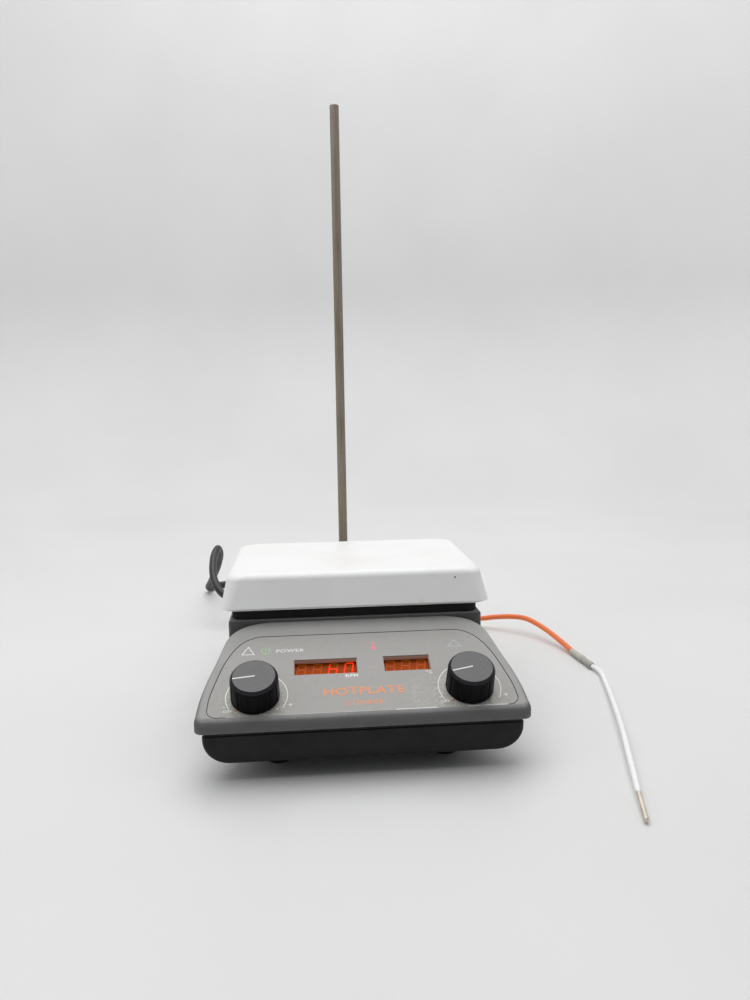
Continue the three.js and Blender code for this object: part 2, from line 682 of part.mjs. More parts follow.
// A rotary control in a group of its own on the panel: the fixed potentiometer and its nut,
// and the shaft, knob and cap that turn.
function addControl(name, x, panel) {
  const control = new THREE.Group();
  control.position.set(x, KNOB.up, 0);
  panel.add(control);

  const bodyTop = -HOUSING.wall - GAP;
  const shaftBottom = -POT.depth + 2;
  const bore = POT.shaftRadius + GAP;
  const body = turned([
    [0, -POT.depth],
    [POT.bodyRadius, -POT.depth],
    [POT.bodyRadius, bodyTop],
    [POT.bushRadius, bodyTop],
    [POT.bushRadius, POT.bushTop],
    [bore, POT.bushTop],
    [bore, shaftBottom - GAP],
    [0, shaftBottom - GAP],
  ]);
  piece(`${name}_pot_body`, body, STEEL, control);
  piece(`${name}_pot_shaft`, bar(POT.shaftRadius, shaftBottom, POT_SHAFT_TOP), STEEL, control);

  const hexagon = levels(0, 300, 6).map((degrees) => {
    const angle = THREE.MathUtils.degToRad(degrees);
    return new THREE.Vector2(POT_NUT.radius * Math.cos(angle), POT_NUT.radius * Math.sin(angle));
  });
  const nut = new THREE.Shape(hexagon);
  nut.holes.push(disc(POT.bushRadius + GAP));
  piece(`${name}_pot_nut`, slab(nut, GAP, POT_NUT.top, 6), BRASS, control);

  const { height, baseRadius, topRadius } = KNOB;
  const capSeat = height - 1.3;
  const capRadius = topRadius - 0.9;
  const knob = turned(
    [
      [0, POT_SHAFT_TOP + GAP],
      [bore, POT_SHAFT_TOP + GAP],
      [bore, POT.bushTop + 0.6],
      [baseRadius - 2.8, POT.bushTop + 0.6],
      [baseRadius - 2.2, GAP],
      [baseRadius, GAP],
      [topRadius + 0.2, height - 1],
      [topRadius - 0.2, height],
      [capRadius, height],
      [capRadius, capSeat],
      [0, capSeat],
    ],
    24,
  );
  piece(`${name}_knob`, knob, BLACK_PLASTIC, control);
  const cap = bar(capRadius - GAP, capSeat + GAP, height - 0.2, 24);
  piece(`${name}_knob_cap`, cap, CAP_GREY, control);
}

function addControlPanel(parent) {
  const panel = new THREE.Group();
  panel.position.set(0, PANEL.y, PANEL.z);
  panel.rotation.x = PANEL.slope;
  parent.add(panel);
  addDisplays(panel);
  for (const [name, x] of Object.entries(KNOBS)) {
    addControl(name, x, panel);
  }
}

// ---------------------------------------------------------------- power supply

function addPowerSupply(parent) {
  const { halfWidth, y, depth, bottom } = POWER_BOARD;
  const boardTop = bottom + BOARD_THICKNESS;
  const board = block(2 * halfWidth, depth, BOARD_THICKNESS, 0, y, bottom);
  piece("power_board", board, BOARD_GREEN, parent);

  const { x: coreX, y: coreY, width: coreWidth, depth: coreDepth, height: coreHeight } = TRANSFORMER;
  const core = block(coreWidth, coreDepth, coreHeight, coreX, coreY, boardTop);
  piece("transformer", core, STEEL, parent);

  const sink = HEAT_SINK;
  const base = solid(block(sink.width, sink.depth, sink.base, sink.x, sink.y, boardTop));
  const finReach = (sink.width - sink.fin) / 2 - 0.75;
  const fins = levels(sink.x - finReach, sink.x + finReach, 5).map((x) =>
    block(sink.fin, sink.depth, sink.height - 3, x, sink.y, boardTop + 3),
  );
  piece("heat_sink", geometryOf(join(base, ...fins)), ALUMINIUM, parent);
}

// ---------------------------------------------------------------- support rod

function addSupportRod(parent) {
  const { radius, bottom, top, flangeRadius, flangeHeight } = ROD_SOCKET;
  const bore = ROD.radius + GAP;
  const socket = turned(
    [
      [bore, bottom],
      [radius, bottom],
      [radius, HOUSING.deck],
      [flangeRadius, HOUSING.deck],
      [flangeRadius, HOUSING.deck + flangeHeight],
      [radius, HOUSING.deck + flangeHeight],
      [radius, top - 1],
      [radius - 1, top],
      [bore, top],
      [bore, bottom],
    ],
    16,
  );
  const screwHole = barAlongY(CLAMP_SCREW.radius + GAP, 0, radius + 3, 12);
  const body = cut(solid(socket), screwHole.translate(0, 0, CLAMP_SCREW.z));
  piece("rod_socket", geometryOf(body), ALUMINIUM, parent).position.y = ROD.y;

  const tip = 1.5;
  const rod = turned(
    [
      [0, ROD.bottom],
      [ROD.radius, ROD.bottom],
      [ROD.radius, ROD.top - tip],
      [ROD.radius - tip / 2, ROD.top - tip / 4],
      [0, ROD.top],
    ],
    16,
  );
  piece("support_rod", rod, WORN_STEEL, parent).position.y = ROD.y;

  const grip = CLAMP_SCREW.reach - CLAMP_SCREW.knobLength;
  const screw = turned(
    [
      [0, -CLAMP_SCREW.reach],
      [CLAMP_SCREW.knobRadius, -CLAMP_SCREW.reach],
      [CLAMP_SCREW.knobRadius, -grip],
      [CLAMP_SCREW.radius, -grip],
      [CLAMP_SCREW.radius, -bore],
      [0, -bore],
    ],
    16,
  ).rotateX(Math.PI / 2);
  piece("rod_clamp_screw", screw, BLACK_PLASTIC, parent).position.set(0, ROD.y, CLAMP_SCREW.z);
}

// ---------------------------------------------------------------- mains cord

const CORD_START = HOUSING.rear + 40;
const CORD_PATH = [
  [INLET.x, CORD_START, INLET.z],
  [INLET.x, CORD_START + 3, INLET.z],
  [-58, 200, 40],
  [-88, 207, 29],
  [-114, 207, 31],
  [-126, 220, 45],
  [-129, 245, 60.5],
  [-126.5, 265, 67.8],
  [-126, 280, 58],
  [-132, 299, 40],
  [-142.5, 330, 19],
  [-148.5, 352, 6],
  [-139, 372, 4.2],
  [-108, 383, 4.2],
  [-78, 384, 7],
  [-64, 384, 11],
  [-60, 384, 11],
];

function addMainsCord(parent) {
  const { x, z, width, height } = INLET;
  const rear = HOUSING.rear;
  const flange = solid(block(width + 6, 2.5, height + 5, x, rear + 1.25, z - height / 2 - 2.5));
  const body = block(width, 20, height, x, rear - 9, z - height / 2);
  const recess = block(width - 4, 16, height - 4, x, rear - 4, z - height / 2 + 2);
  const inlet = cut(join(flange, body), recess);
  piece("mains_inlet", geometryOf(inlet), BLACK_PLASTIC, parent);

  const plugWidth = width - 5;
  const plugHeight = height - 5;
  const nose = block(plugWidth, 12, plugHeight, x, rear - 3, z - plugHeight / 2);
  const grip = roundedRectangle(width / 2 - 0.5, height / 2 - 0.5, 3);
  const handle = slab(grip, -(rear + 26), -(rear + 3)).rotateX(Math.PI / 2).translate(x, 0, z);
  const relief = turned([
    [0, -(CORD_START - GAP)],
    [CORD_RADIUS + 1, -(CORD_START - GAP)],
    [CORD_RADIUS + 3, -(rear + 25)],
    [0, -(rear + 25)],
  ], 12).rotateX(Math.PI / 2).translate(x, 0, z);
  piece("cord_connector", geometryOf(join(solid(nose), handle, relief)), BLACK_PLASTIC, parent);

  piece("power_cord", cable(CORD_PATH, CORD_RADIUS, 52), CORD_BLACK, parent);

  const [endX, endY, endZ] = CORD_PATH.at(-1);
  const sleeve = new THREE.CylinderGeometry(CORD_RADIUS + 2.5, CORD_RADIUS + 0.8, 14, 12);
  const neck = sleeve.rotateZ(-Math.PI / 2).translate(endX + 7 + GAP, endY, endZ);
  const shell = block(24, 28, 21, endX + 25 + GAP, endY, GAP);
  const pins = [-6.35, 6.35].map((y) => block(20, 1.6, 6.4, endX + 45, endY + y, endZ - 3.2));
  const earth = new THREE.CylinderGeometry(2.4, 2.4, 22, 10).rotateZ(Math.PI / 2);
  earth.translate(endX + 46, endY, endZ + 5.5);
  const plug = join(solid(shell), neck, ...pins, earth);
  piece("mains_plug", geometryOf(plug), BLACK_PLASTIC, parent);
}

// ---------------------------------------------------------------- temperature probe

const PROBE_PLUG_END = HOUSING.rear + 28;
const FERRULE_START = [192.6, 74, 3.6];
const FERRULE_END = [196.4, 34.3, 3.4];
const SLEEVE_END = [145.9, -172.5, 4.6];
const TIP_END = [139.4, -197.5, 2.6];

const CABLE_PATH = [
  [JACK.x, PROBE_PLUG_END, JACK.z],
  [JACK.x, PROBE_PLUG_END + 2, JACK.z],
  [61, 185, 39],
  [84, 184, 24],
  [109, 175, 13],
  [131.2, 165, 9.7],
  [145.8, 158, 12.2],
  [159.7, 149, 14.5],
  [171.4, 136.5, 15.2],
  [181.8, 116, 11.4],
  [189.1, 91, 6.7],
  FERRULE_START,
];

// A point a distance from `start` on the way to `end`.
function stepTowards(start, end, distance) {
  const from = new THREE.Vector3(...start);
  const way = new THREE.Vector3(...end).sub(from).setLength(distance);
  return from.add(way).toArray();
}

// A straight round bar between two points, both shortened by half the gap.
function link(start, end, radius, sides) {
  const from = stepTowards(start, end, GAP / 2);
  const to = stepTowards(end, start, GAP / 2);
  const length = new THREE.Vector3(...from).distanceTo(new THREE.Vector3(...to));
  const geometry = bar(radius, 0, length, sides);
  const direction = new THREE.Vector3(...end).sub(new THREE.Vector3(...start)).normalize();
  const turn = new THREE.Quaternion().setFromUnitVectors(new THREE.Vector3(0, 0, 1), direction);
  return geometry.applyQuaternion(turn).translate(...from);
}

function addProbe(parent) {
  const { x, z, radius } = JACK;
  const rear = HOUSING.rear;
  const barrel = barAlongY(radius - 1, rear - 16, rear + 1, 16);
  const collar = barAlongY(radius + 1.5, rear, rear + 2, 16);
  const socketHole = barAlongY(2.5, rear - 12, rear + 5, 12);
  const jack = cut(join(solid(barrel), collar), socketHole).translate([x, 0, z]);
  piece("probe_jack", geometryOf(jack), BLACK_PLASTIC, parent);

  const plug = turned(
    [
      [0, -(PROBE_PLUG_END - GAP)],
      [CABLE_RADIUS + 1, -(PROBE_PLUG_END - GAP)],
      [5, -(rear + 18)],
      [5, -(rear + 2 + GAP)],
      [2.1, -(rear + 2 + GAP)],
      [2.1, -(rear - 10)],
      [0, -(rear - 10)],
    ],
    16,
  ).rotateX(Math.PI / 2);
  piece("probe_plug", plug, BLACK_PLASTIC, parent).position.set(x, 0, z);

  const cableEnd = stepTowards(FERRULE_START, FERRULE_END, -GAP);
  const route = [...CABLE_PATH.slice(0, -1), cableEnd];
  piece("probe_cable", cable(route, CABLE_RADIUS, 36, 6), ORANGE_CABLE, parent);
  piece("probe_ferrule", link(FERRULE_START, FERRULE_END, FERRULE_RADIUS, 12), SHRINK_GREY, parent);

  const sleevePath = [
    stepTowards(FERRULE_END, FERRULE_START, -GAP),
    [197.3, 25, 3.7],
    [195.9, 12.2, 4.4],
    [188.9, -16.7, 5.6],
    [179.1, -54.7, 7],
    [167.7, -96.2, 7.8],
    [155.8, -137, 7.2],
    stepTowards(SLEEVE_END, TIP_END, -GAP),
  ];
  piece("probe_sleeve", cable(sleevePath, SLEEVE_RADIUS, 20, 6), WHITE_SLEEVE, parent);
  piece("probe_tip", link(SLEEVE_END, TIP_END, TIP_RADIUS, 10), STEEL, parent);
}

// ---------------------------------------------------------------- the whole object

const stirrer = new THREE.Group();
stirrer.position.z = -PLATE.top;
addHousing(stirrer);
addHotPlate(stirrer);
addStirringDrive(stirrer);
addControlPanel(stirrer);
addPowerSupply(stirrer);
addSupportRod(stirrer);
addMainsCord(stirrer);
addProbe(stirrer);

export default stirrer;
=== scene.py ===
"""The visual model of a stirring hotplate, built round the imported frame.

Shapes are worked out in millimetres in the row frame, whose origin is the centre of the
plate's upper face, and are scaled to metres as each mesh is made.
"""
import json
import math

import bmesh
import bpy
from mathutils import Matrix, Vector


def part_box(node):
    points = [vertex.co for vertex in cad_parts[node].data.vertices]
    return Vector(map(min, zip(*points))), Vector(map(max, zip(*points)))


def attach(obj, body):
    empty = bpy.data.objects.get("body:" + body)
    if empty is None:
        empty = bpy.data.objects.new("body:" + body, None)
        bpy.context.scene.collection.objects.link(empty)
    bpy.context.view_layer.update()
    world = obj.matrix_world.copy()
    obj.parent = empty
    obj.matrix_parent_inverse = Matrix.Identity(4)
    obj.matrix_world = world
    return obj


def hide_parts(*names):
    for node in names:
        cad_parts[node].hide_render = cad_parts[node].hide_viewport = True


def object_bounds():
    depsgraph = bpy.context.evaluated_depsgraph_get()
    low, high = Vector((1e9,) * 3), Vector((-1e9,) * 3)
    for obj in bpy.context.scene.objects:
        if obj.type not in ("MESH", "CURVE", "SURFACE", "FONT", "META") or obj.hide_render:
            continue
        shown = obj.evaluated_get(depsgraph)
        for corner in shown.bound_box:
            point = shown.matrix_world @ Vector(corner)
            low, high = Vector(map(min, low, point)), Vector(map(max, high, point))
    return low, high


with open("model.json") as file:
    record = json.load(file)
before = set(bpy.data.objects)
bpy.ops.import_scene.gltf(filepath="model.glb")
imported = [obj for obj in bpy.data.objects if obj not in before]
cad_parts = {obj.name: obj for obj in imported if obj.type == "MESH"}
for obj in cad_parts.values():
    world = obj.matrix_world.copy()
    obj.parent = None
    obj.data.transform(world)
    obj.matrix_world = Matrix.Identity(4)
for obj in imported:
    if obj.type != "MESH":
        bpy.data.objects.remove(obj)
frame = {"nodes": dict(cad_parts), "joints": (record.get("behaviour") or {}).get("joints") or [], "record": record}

MM = 0.001
cad_low, cad_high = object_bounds()


# ---------------- places, from the frame

class NodeBox:
    """The corners, centre and size of a CAD node, in millimetres."""

    def __init__(self, node):
        low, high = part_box(node)
        self.low = low / MM
        self.high = high / MM
        self.centre = (self.low + self.high) / 2
        self.size = self.high - self.low


BENCH = cad_low.z / MM
JOINTS = {joint["name"]: joint for joint in frame["joints"]}
PLATE = NodeBox("top_plate")
HOUSING = NodeBox("upper_housing")
TRAY = NodeBox("base_tray")
ROD = NodeBox("support_rod")
SOCKET = NodeBox("rod_socket")
CLAMP = NodeBox("rod_clamp_screw")
JACK = NodeBox("probe_jack")
INLET = NodeBox("mains_inlet")
CONNECTOR = NodeBox("cord_connector")

KNOB_HEIGHT = 16.8
KNOB_UP = 18.8  # how far up the panel the knobs sit, along the slope from its front edge
POT_HOLE = 4.9  # radius of the holes that the knobs' shafts come through
knob_place = Vector(JOINTS["heat_knob_turn"]["pos_m"]) / MM
KNOB_X = knob_place.x
NORMAL = Vector(JOINTS["heat_knob_turn"]["axis"]).normalized()
ACROSS = Vector((1, 0, 0))
UPHILL = NORMAL.cross(ACROSS)
SLOPE = math.atan2(UPHILL.z, UPHILL.y)
PANEL_ORIGIN = Vector((0, knob_place.y, knob_place.z)) - UPHILL * KNOB_UP
PANEL = Matrix.Translation(PANEL_ORIGIN) @ Matrix((ACROSS, UPHILL, NORMAL)).transposed().to_4x4()


def panel_y(up):
    return PANEL_ORIGIN.y + up * math.cos(SLOPE)


def panel_z(y):
    """Height of the panel's plane over a point y."""
    return PANEL_ORIGIN.z + (y - PANEL_ORIGIN.y) * math.tan(SLOPE)


# ---------------- mesh helpers

def mesh_object(name, verts, faces, smooth_angle=32):
    """A mesh object from points in millimetres, with its faces turned outwards."""
    mesh = bpy.data.meshes.new(name)
    mesh.from_pydata([Vector(v) * MM for v in verts], [], faces)
    tidy = bmesh.new()
    tidy.from_mesh(mesh)
    bmesh.ops.recalc_face_normals(tidy, faces=tidy.faces)
    tidy.to_mesh(mesh)
    tidy.free()
    shade(mesh, smooth_angle)
    obj = bpy.data.objects.new(name, mesh)
    bpy.context.collection.objects.link(obj)
    return obj


def shade(mesh, angle):
    mesh.shade_smooth()
    mesh.set_sharp_from_angle(angle=math.radians(angle))


def move_mesh(obj, matrix):
    """Moves an object's mesh by a matrix given in millimetres."""
    metres = Matrix.Translation(matrix.translation * MM) @ matrix.to_3x3().to_4x4()
    obj.data.transform(metres)
    return obj


def shift(obj, x=0, y=0, z=0):
    return move_mesh(obj, Matrix.Translation((x, y, z)))


def skin(rings, closed_loop=False):
    """Quads between rings of equally many points, with a face across each end."""
    count = len(rings[0])
    verts = [point for ring in rings for point in ring]
    faces = []
    spans = len(rings) if closed_loop else len(rings) - 1
    for ring in range(spans):
        this = ring * count
        after = ((ring + 1) % len(rings)) * count
        for i in range(count):
            j = (i + 1) % count
            faces.append((this + i, this + j, after + j, after + i))
    if not closed_loop:
        faces.append(tuple(reversed(range(count))))
        faces.append(tuple(range((len(rings) - 1) * count, len(rings) * count)))
    return verts, faces


def round_rings(profile, sides, flute=None):
    """Rings about +Z for (radius, z) points; flute(angle, z, radius) may scale the radius."""
    turns = [math.tau * k / sides for k in range(sides)]
    rings = []
    for radius, z in profile:
        reaches = [radius * flute(a, z, radius) if flute else radius for a in turns]
        rings.append([(r * math.cos(a), r * math.sin(a), z) for r, a in zip(reaches, turns)])
    return rings


def skinned(name, rings, closed_loop=False, smooth_angle=32):
    return mesh_object(name, *skin(rings, closed_loop), smooth_angle)


def turned(name, profile, sides=64, flute=None):
    """A solid body of revolution about +Z."""
    profile = [(max(radius, 0.001), z) for radius, z in profile]
    return skinned(name, round_rings(profile, sides, flute))


def tube(name, profile, sides):
    """A hollow body of revolution about +Z, whose profile closes on itself."""
    return skinned(name, round_rings(profile, sides), closed_loop=True)


def peg(name, radius, low, high, sides=64):
    return turned(name, [(0, low), (radius, low), (radius, high), (0, high)], sides)


def rounded_profile(profile, radius, steps=4):
    """A profile with every inner corner rounded by about a radius."""
    points = [Vector(p) for p in profile]
    out = [points[0]]
    for before, corner, after in zip(points, points[1:], points[2:]):
        reach_in = min(radius, (before - corner).length * 0.45)
        reach_out = min(radius, (after - corner).length * 0.45)
        start = corner + (before - corner).normalized() * reach_in
        end = corner + (after - corner).normalized() * reach_out
        for k in range(steps + 1):
            t = k / steps
            out.append(start * (1 - t) ** 2 + corner * (2 * t * (1 - t)) + end * t * t)
    out.append(points[-1])
    return [tuple(p) for p in out]


def block(name, width, depth, height, centre):
    half = Vector((width, depth, height)) / 2
    corners = [(-1, -1), (1, -1), (1, 1), (-1, 1)]
    rings = [[Vector(centre) + half * Vector((x, y, z)) for x, y in corners] for z in (-1, 1)]
    return skinned(name, rings)


def arc(centre, radius, start, end, steps):
    """Points on an arc, angles in degrees."""
    angles = [math.radians(start + (end - start) * k / steps) for k in range(steps + 1)]
    x, y = centre
    return [Vector((x + radius * math.cos(a), y + radius * math.sin(a))) for a in angles]


def smooth_through(points, per_span=8):
    """A Catmull-Rom curve through points of any dimension."""
    points = [Vector(p) for p in points]
    ends = [points[0] * 2 - points[1], *points, points[-1] * 2 - points[-2]]
    out = []
    for a, b, c, d in zip(ends, ends[1:], ends[2:], ends[3:]):
        for k in range(per_span):
            t = k / per_span
            out.append(
                (b * 2 + (c - a) * t + (a * 2 - b * 5 + c * 4 - d) * t * t
                 + (b * 3 - a - c * 3 + d) * t ** 3) / 2
            )
    out.append(points[-1])
    return out


def without_repeats(points, least=0.02):
    kept = []
    for point in points:
        if not kept or (point - kept[-1]).length > least:
            kept.append(point)
    return kept


def mirrored(right_side):
    """A symmetrical anticlockwise outline from its right-hand side, front to back."""
    right = without_repeats(right_side)
    return right + [Vector((-p.x, p.y)) for p in reversed(right)]


def varying(value):
    """A number as a function that always gives it; a function is left alone."""
    return value if callable(value) else (lambda at: value)


def inset(outline, distance):
    """An anticlockwise outline moved inwards; distance is a number or a function of y."""
    moved = []
    for i, point in enumerate(outline):
        along = (outline[(i + 1) % len(outline)] - outline[i - 1]).normalized()
        by = varying(distance)(point.y)
        moved.append(Vector((point.x - along.y * by, point.y + along.x * by)))
    return moved


def rounded_rectangle(half_width, half_depth, radius, steps=10):
    x, y = half_width - radius, half_depth - radius
    corners = [((x, -y), -90), ((x, y), 0), ((-x, y), 90), ((-x, -y), 180)]
    return [p for centre, start in corners for p in arc(centre, radius, start, start + 90, steps)]


def at_height(outline, z):
    """An outline as points at a height, a number or a function of y."""
    return [Vector((p.x, p.y, varying(z)(p.y))) for p in outline]


def prism(name, outline, low, high):
    """An upright block on an outline; its ends may be heights or functions of y."""
    points = [Vector(p) for p in outline]
    return skinned(name, [at_height(points, z) for z in (low, high)])


def apply_modifiers(obj):
    graph = bpy.context.evaluated_depsgraph_get()
    mesh = bpy.data.meshes.new_from_object(obj.evaluated_get(graph))
    obj.modifiers.clear()
    obj.data = mesh
    return obj


def combine(obj, others, operation="DIFFERENCE", smooth_angle=32):
    """Cuts other closed meshes out of obj, or joins them to it, and removes them."""
    for other in others:
        step = obj.modifiers.new("combine", "BOOLEAN")
        step.operation = operation
        step.solver = "EXACT"
        step.object = other
        apply_modifiers(obj)
        bpy.data.objects.remove(other)
    shade(obj.data, smooth_angle)
    return obj


def bevelled(obj, width, segments=3):
    bevel = obj.modifiers.new("edges", "BEVEL")
    bevel.width = width * MM
    bevel.segments = segments
    bevel.limit_method = "ANGLE"
    bevel.angle_limit = math.radians(32)
    bevel.harden_normals = True
    return obj


def facing_back(obj, x, y, z):
    """Turns a body of revolution to point along +Y, and stands it at a place."""
    return move_mesh(obj, Matrix.Translation((x, y, z)) @ Matrix.Rotation(-math.pi / 2, 4, "X"))


def over_bench(points):
    """Points whose heights are given above the bench."""
    return [Vector((x, y, BENCH + above)) for x, y, above in points]


def weighted(obj):
    """Flat faces keep flat shading beside their rounded edges."""
    normals = obj.modifiers.new("normals", "WEIGHTED_NORMAL")
    normals.keep_sharp = True
    return obj


def sweep(name, path, radius, sides=20):
    """A round cable along a path; radius is a number or a function of the distance along it."""
    path = without_repeats([Vector(p) for p in path], 0.05)
    along = 0
    across = (path[1] - path[0]).orthogonal().normalized()
    rings = []
    for i, point in enumerate(path):
        ahead = path[min(i + 1, len(path) - 1)]
        behind = path[max(i - 1, 0)]
        tangent = (ahead - behind).normalized()
        across = (across - tangent * across.dot(tangent)).normalized()
        other = tangent.cross(across)
        if i:
            along += (point - path[i - 1]).length
        r = varying(radius)(along)
        rings.append([
            point + (across * math.cos(a) + other * math.sin(a)) * r
            for a in (math.tau * k / sides for k in range(sides))
        ])
    return skinned(name, rings, smooth_angle=50)


def place(obj, slot, *nodes, body="base", finish=None):
    """Gives a piece its slot's finish or another, its CAD body and the nodes it stands for."""
    obj.data.materials.clear()
    obj.data.materials.append(finish or SLOT_FINISH[slot])
    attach(obj, body)
    if nodes:
        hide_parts(*nodes)


# ---------------- materials

class Finish:
    """A material being made: a Principled shader whose inputs are driven in object space."""

    def __init__(self, name, roughness=0.5, metallic=0.0):
        self.material = bpy.data.materials.new(name)
        self.material.use_nodes = True
        self.nodes = self.material.node_tree.nodes
        self.links = self.material.node_tree.links
        self.shader = self.nodes["Principled BSDF"]
        self.shader.inputs["Roughness"].default_value = roughness
        self.shader.inputs["Metallic"].default_value = metallic
        self.place = self.nodes.new("ShaderNodeTexCoord").outputs["Object"]

    def set(self, **values):
        for name, value in values.items():
            self.feed(self.shader.inputs[name.replace("_", " ")], value)
        return self

    def feed(self, target, value):
        """Links a socket, or sets a number, a vector or a colour, which is a tuple."""
        if isinstance(value, bpy.types.NodeSocket):
            self.links.new(value, target)
        elif isinstance(value, tuple):
            target.default_value = (*value, 1)
        else:
            target.default_value = value

    def node(self, kind, output, feeds=None, **settings):
        """Makes a node, sets it up, feeds its inputs and returns one of its outputs."""
        node = self.nodes.new("ShaderNode" + kind)
        for name, value in settings.items():
            setattr(node, name, value)
        for socket, value in (feeds or {}).items():
            self.feed(node.inputs[socket], value)
        return node.outputs[output]

    def stretched(self, x, y, z):
        """The place, scaled on each axis, so that a pattern can run one way."""
        return self.node("Mapping", "Vector", {"Scale": Vector((x, y, z)), "Vector": self.place})

    def noise(self, size, detail=3.0, distortion=0.0, place=None):
        """Noise whose lumps are about `size` millimetres across."""
        shape = {"Scale": 1 / (size * MM), "Detail": detail, "Distortion": distortion}
        return self.node("TexNoise", "Fac", {**shape, "Vector": place or self.place})

    def cells(self, size):
        return self.node("TexVoronoi", "Distance", {"Scale": 1 / (size * MM), "Vector": self.place})

    def span(self, value, low, high, to_low=0.0, to_high=1.0):
        """Maps low..high to to_low..to_high, clamped."""
        limits = {"From Min": low, "From Max": high, "To Min": to_low, "To Max": to_high}
        return self.node("MapRange", "Result", {**limits, "Value": value})

    def times(self, a, b, operation="MULTIPLY"):
        return self.node("Math", 0, {0: a, 1: b}, operation=operation)

    def blend(self, factor, first, second):
        sides = {"Factor": factor, "A": first, "B": second}
        return self.node("Mix", "Result", sides, data_type="RGBA")

    def over(self, base, mask, share, colour):
        """Lays a colour over a base, as strongly as a mask times a share."""
        return self.blend(self.times(mask, share), base, colour)

    def near(self, centre, radius):
        """1 at a place in millimetres, falling to 0 at a radius from it."""
        ends = {0: self.place, 1: Vector(centre) * MM}
        distance = self.node("VectorMath", "Value", ends, operation="DISTANCE")
        return self.span(distance, 0, radius * MM, 1, 0)

    def above_panel(self):
        """Height above the sloping panel, in metres."""
        pair = {0: self.place, 1: NORMAL}
        height = self.node("VectorMath", "Value", pair, operation="DOT_PRODUCT")
        return self.times(height, PANEL_ORIGIN.dot(NORMAL) * MM, "SUBTRACT")

    def axis(self, vector, letter):
        return self.node("SeparateXYZ", letter, {0: vector})

    def edges(self, low=0.53, high=0.6):
        """1 on sharp outer edges, where a surface wears."""
        return self.span(self.node("NewGeometry", "Pointiness"), low, high)

    def facing_up(self, low, high):
        """0 where a surface's upward lean is below low, 1 where it is above high."""
        return self.span(self.axis(self.node("NewGeometry", "Normal"), "Z"), low, high)

    def see_through(self, share, tint):
        """Mixes in a share, a number or a socket, of clear tinted glass."""
        clear = self.node("BsdfTransparent", "BSDF", {"Color": tint})
        pair = {"Fac": share, 1: self.shader.outputs["BSDF"], 2: clear}
        self.feed(self.nodes["Material Output"].inputs["Surface"], self.node("MixShader", 0, pair))

    def bump(self, height, strength, depth=0.1, under=None):
        feeds = {"Strength": strength, "Distance": depth * MM, "Height": height}
        if under is not None:
            feeds["Normal"] = under
        return self.node("Bump", "Normal", feeds)


def glass_ceramic():
    """White glazed ceramic: faint warm clouds, a pinkish stain, pinholes and a soft wave."""
    f = Finish("glass_ceramic", 0.4)
    cloud = f.span(f.noise(38, 5, 0.6), 0.4, 0.75)
    base = f.blend(cloud, (0.875, 0.875, 0.87), (0.84, 0.835, 0.82))
    ragged = f.span(f.noise(6, 5, 1.0), 0.42, 0.62)
    pink = f.times(f.near((-4, -22, 0), 30), ragged)
    base = f.over(base, pink, 0.24, (0.83, 0.6, 0.56))
    tan = f.times(f.near((-2, 46, 0), 16), ragged)
    base = f.over(base, tan, 0.22, (0.72, 0.64, 0.5))
    drip = f.near((43.2, PLATE.low.y + 1, PLATE.low.z + 2), 3.2)
    drip = f.times(drip, f.span(f.noise(1.6), 0.4, 0.6))
    base = f.over(base, drip, 0.6, (0.62, 0.55, 0.2))
    speck = f.near((66, PLATE.low.y + 3.7, PLATE.high.z - 6), 0.7)
    pits = f.span(f.cells(9), 0.03, 0.016)
    base = f.blend(f.span(speck, 0.1, 0.2), base, (0.05, 0.045, 0.04))
    base = f.over(base, pits, 0.35, (0.35, 0.33, 0.3))
    rough = f.span(f.noise(12, 6), 0.35, 0.7, 0.36, 0.5)
    wave = f.bump(f.noise(14, 2), 0.12, 0.25)
    f.set(Base_Color=base, Roughness=rough, Coat_Weight=0.12, Coat_Roughness=0.3, IOR=1.5)
    f.set(Normal=f.bump(f.noise(0.5, 2), 0.06, 0.03, wave))
    return f.material


def moulded_plastic(name, colour, lit_top_colour, pale, roughness=0.5, grain=0.55, dust=0.3):
    """Spark-textured moulded plastic: upper faces painted lighter as if lit from above, with dust on them, pale
    flecks and edges.
    """
    f = Finish(name, roughness)
    patch = f.span(f.noise(22, 6, 0.8), 0.42, 0.7)
    fleck = f.span(f.noise(0.8, 2), 0.5, 0.7)
    # painted light: faces leaning upwards take the lighter colour, as if lit from above, and the others keep the
    # darker, shaded one
    base = f.blend(f.facing_up(0.58, 0.89), colour, lit_top_colour)
    upper = f.facing_up(0.5, 0.88)
    base = f.over(base, f.times(patch, upper), dust, pale)
    base = f.over(base, f.times(fleck, upper), dust * 1.2, pale)
    wear = f.times(f.edges(), f.span(f.noise(3, 4), 0.4, 0.65))
    base = f.over(base, wear, 0.45, pale)
    streak = f.span(f.noise(1.1, 3, 0.3, f.stretched(1, 0.06, 1)), 0.66, 0.74)
    base = f.over(base, f.times(streak, patch), dust, pale)
    rough = f.span(f.noise(9, 4), 0.3, 0.7, roughness - 0.08, roughness + 0.1)
    fine = f.bump(f.noise(grain, 2), 0.4, 0.08)
    f.set(Base_Color=base, Roughness=rough, Normal=f.bump(f.noise(grain * 2.3, 1), 0.3, 0.12, fine))
    f.set(Specular_IOR_Level=0.3)
    return f.material


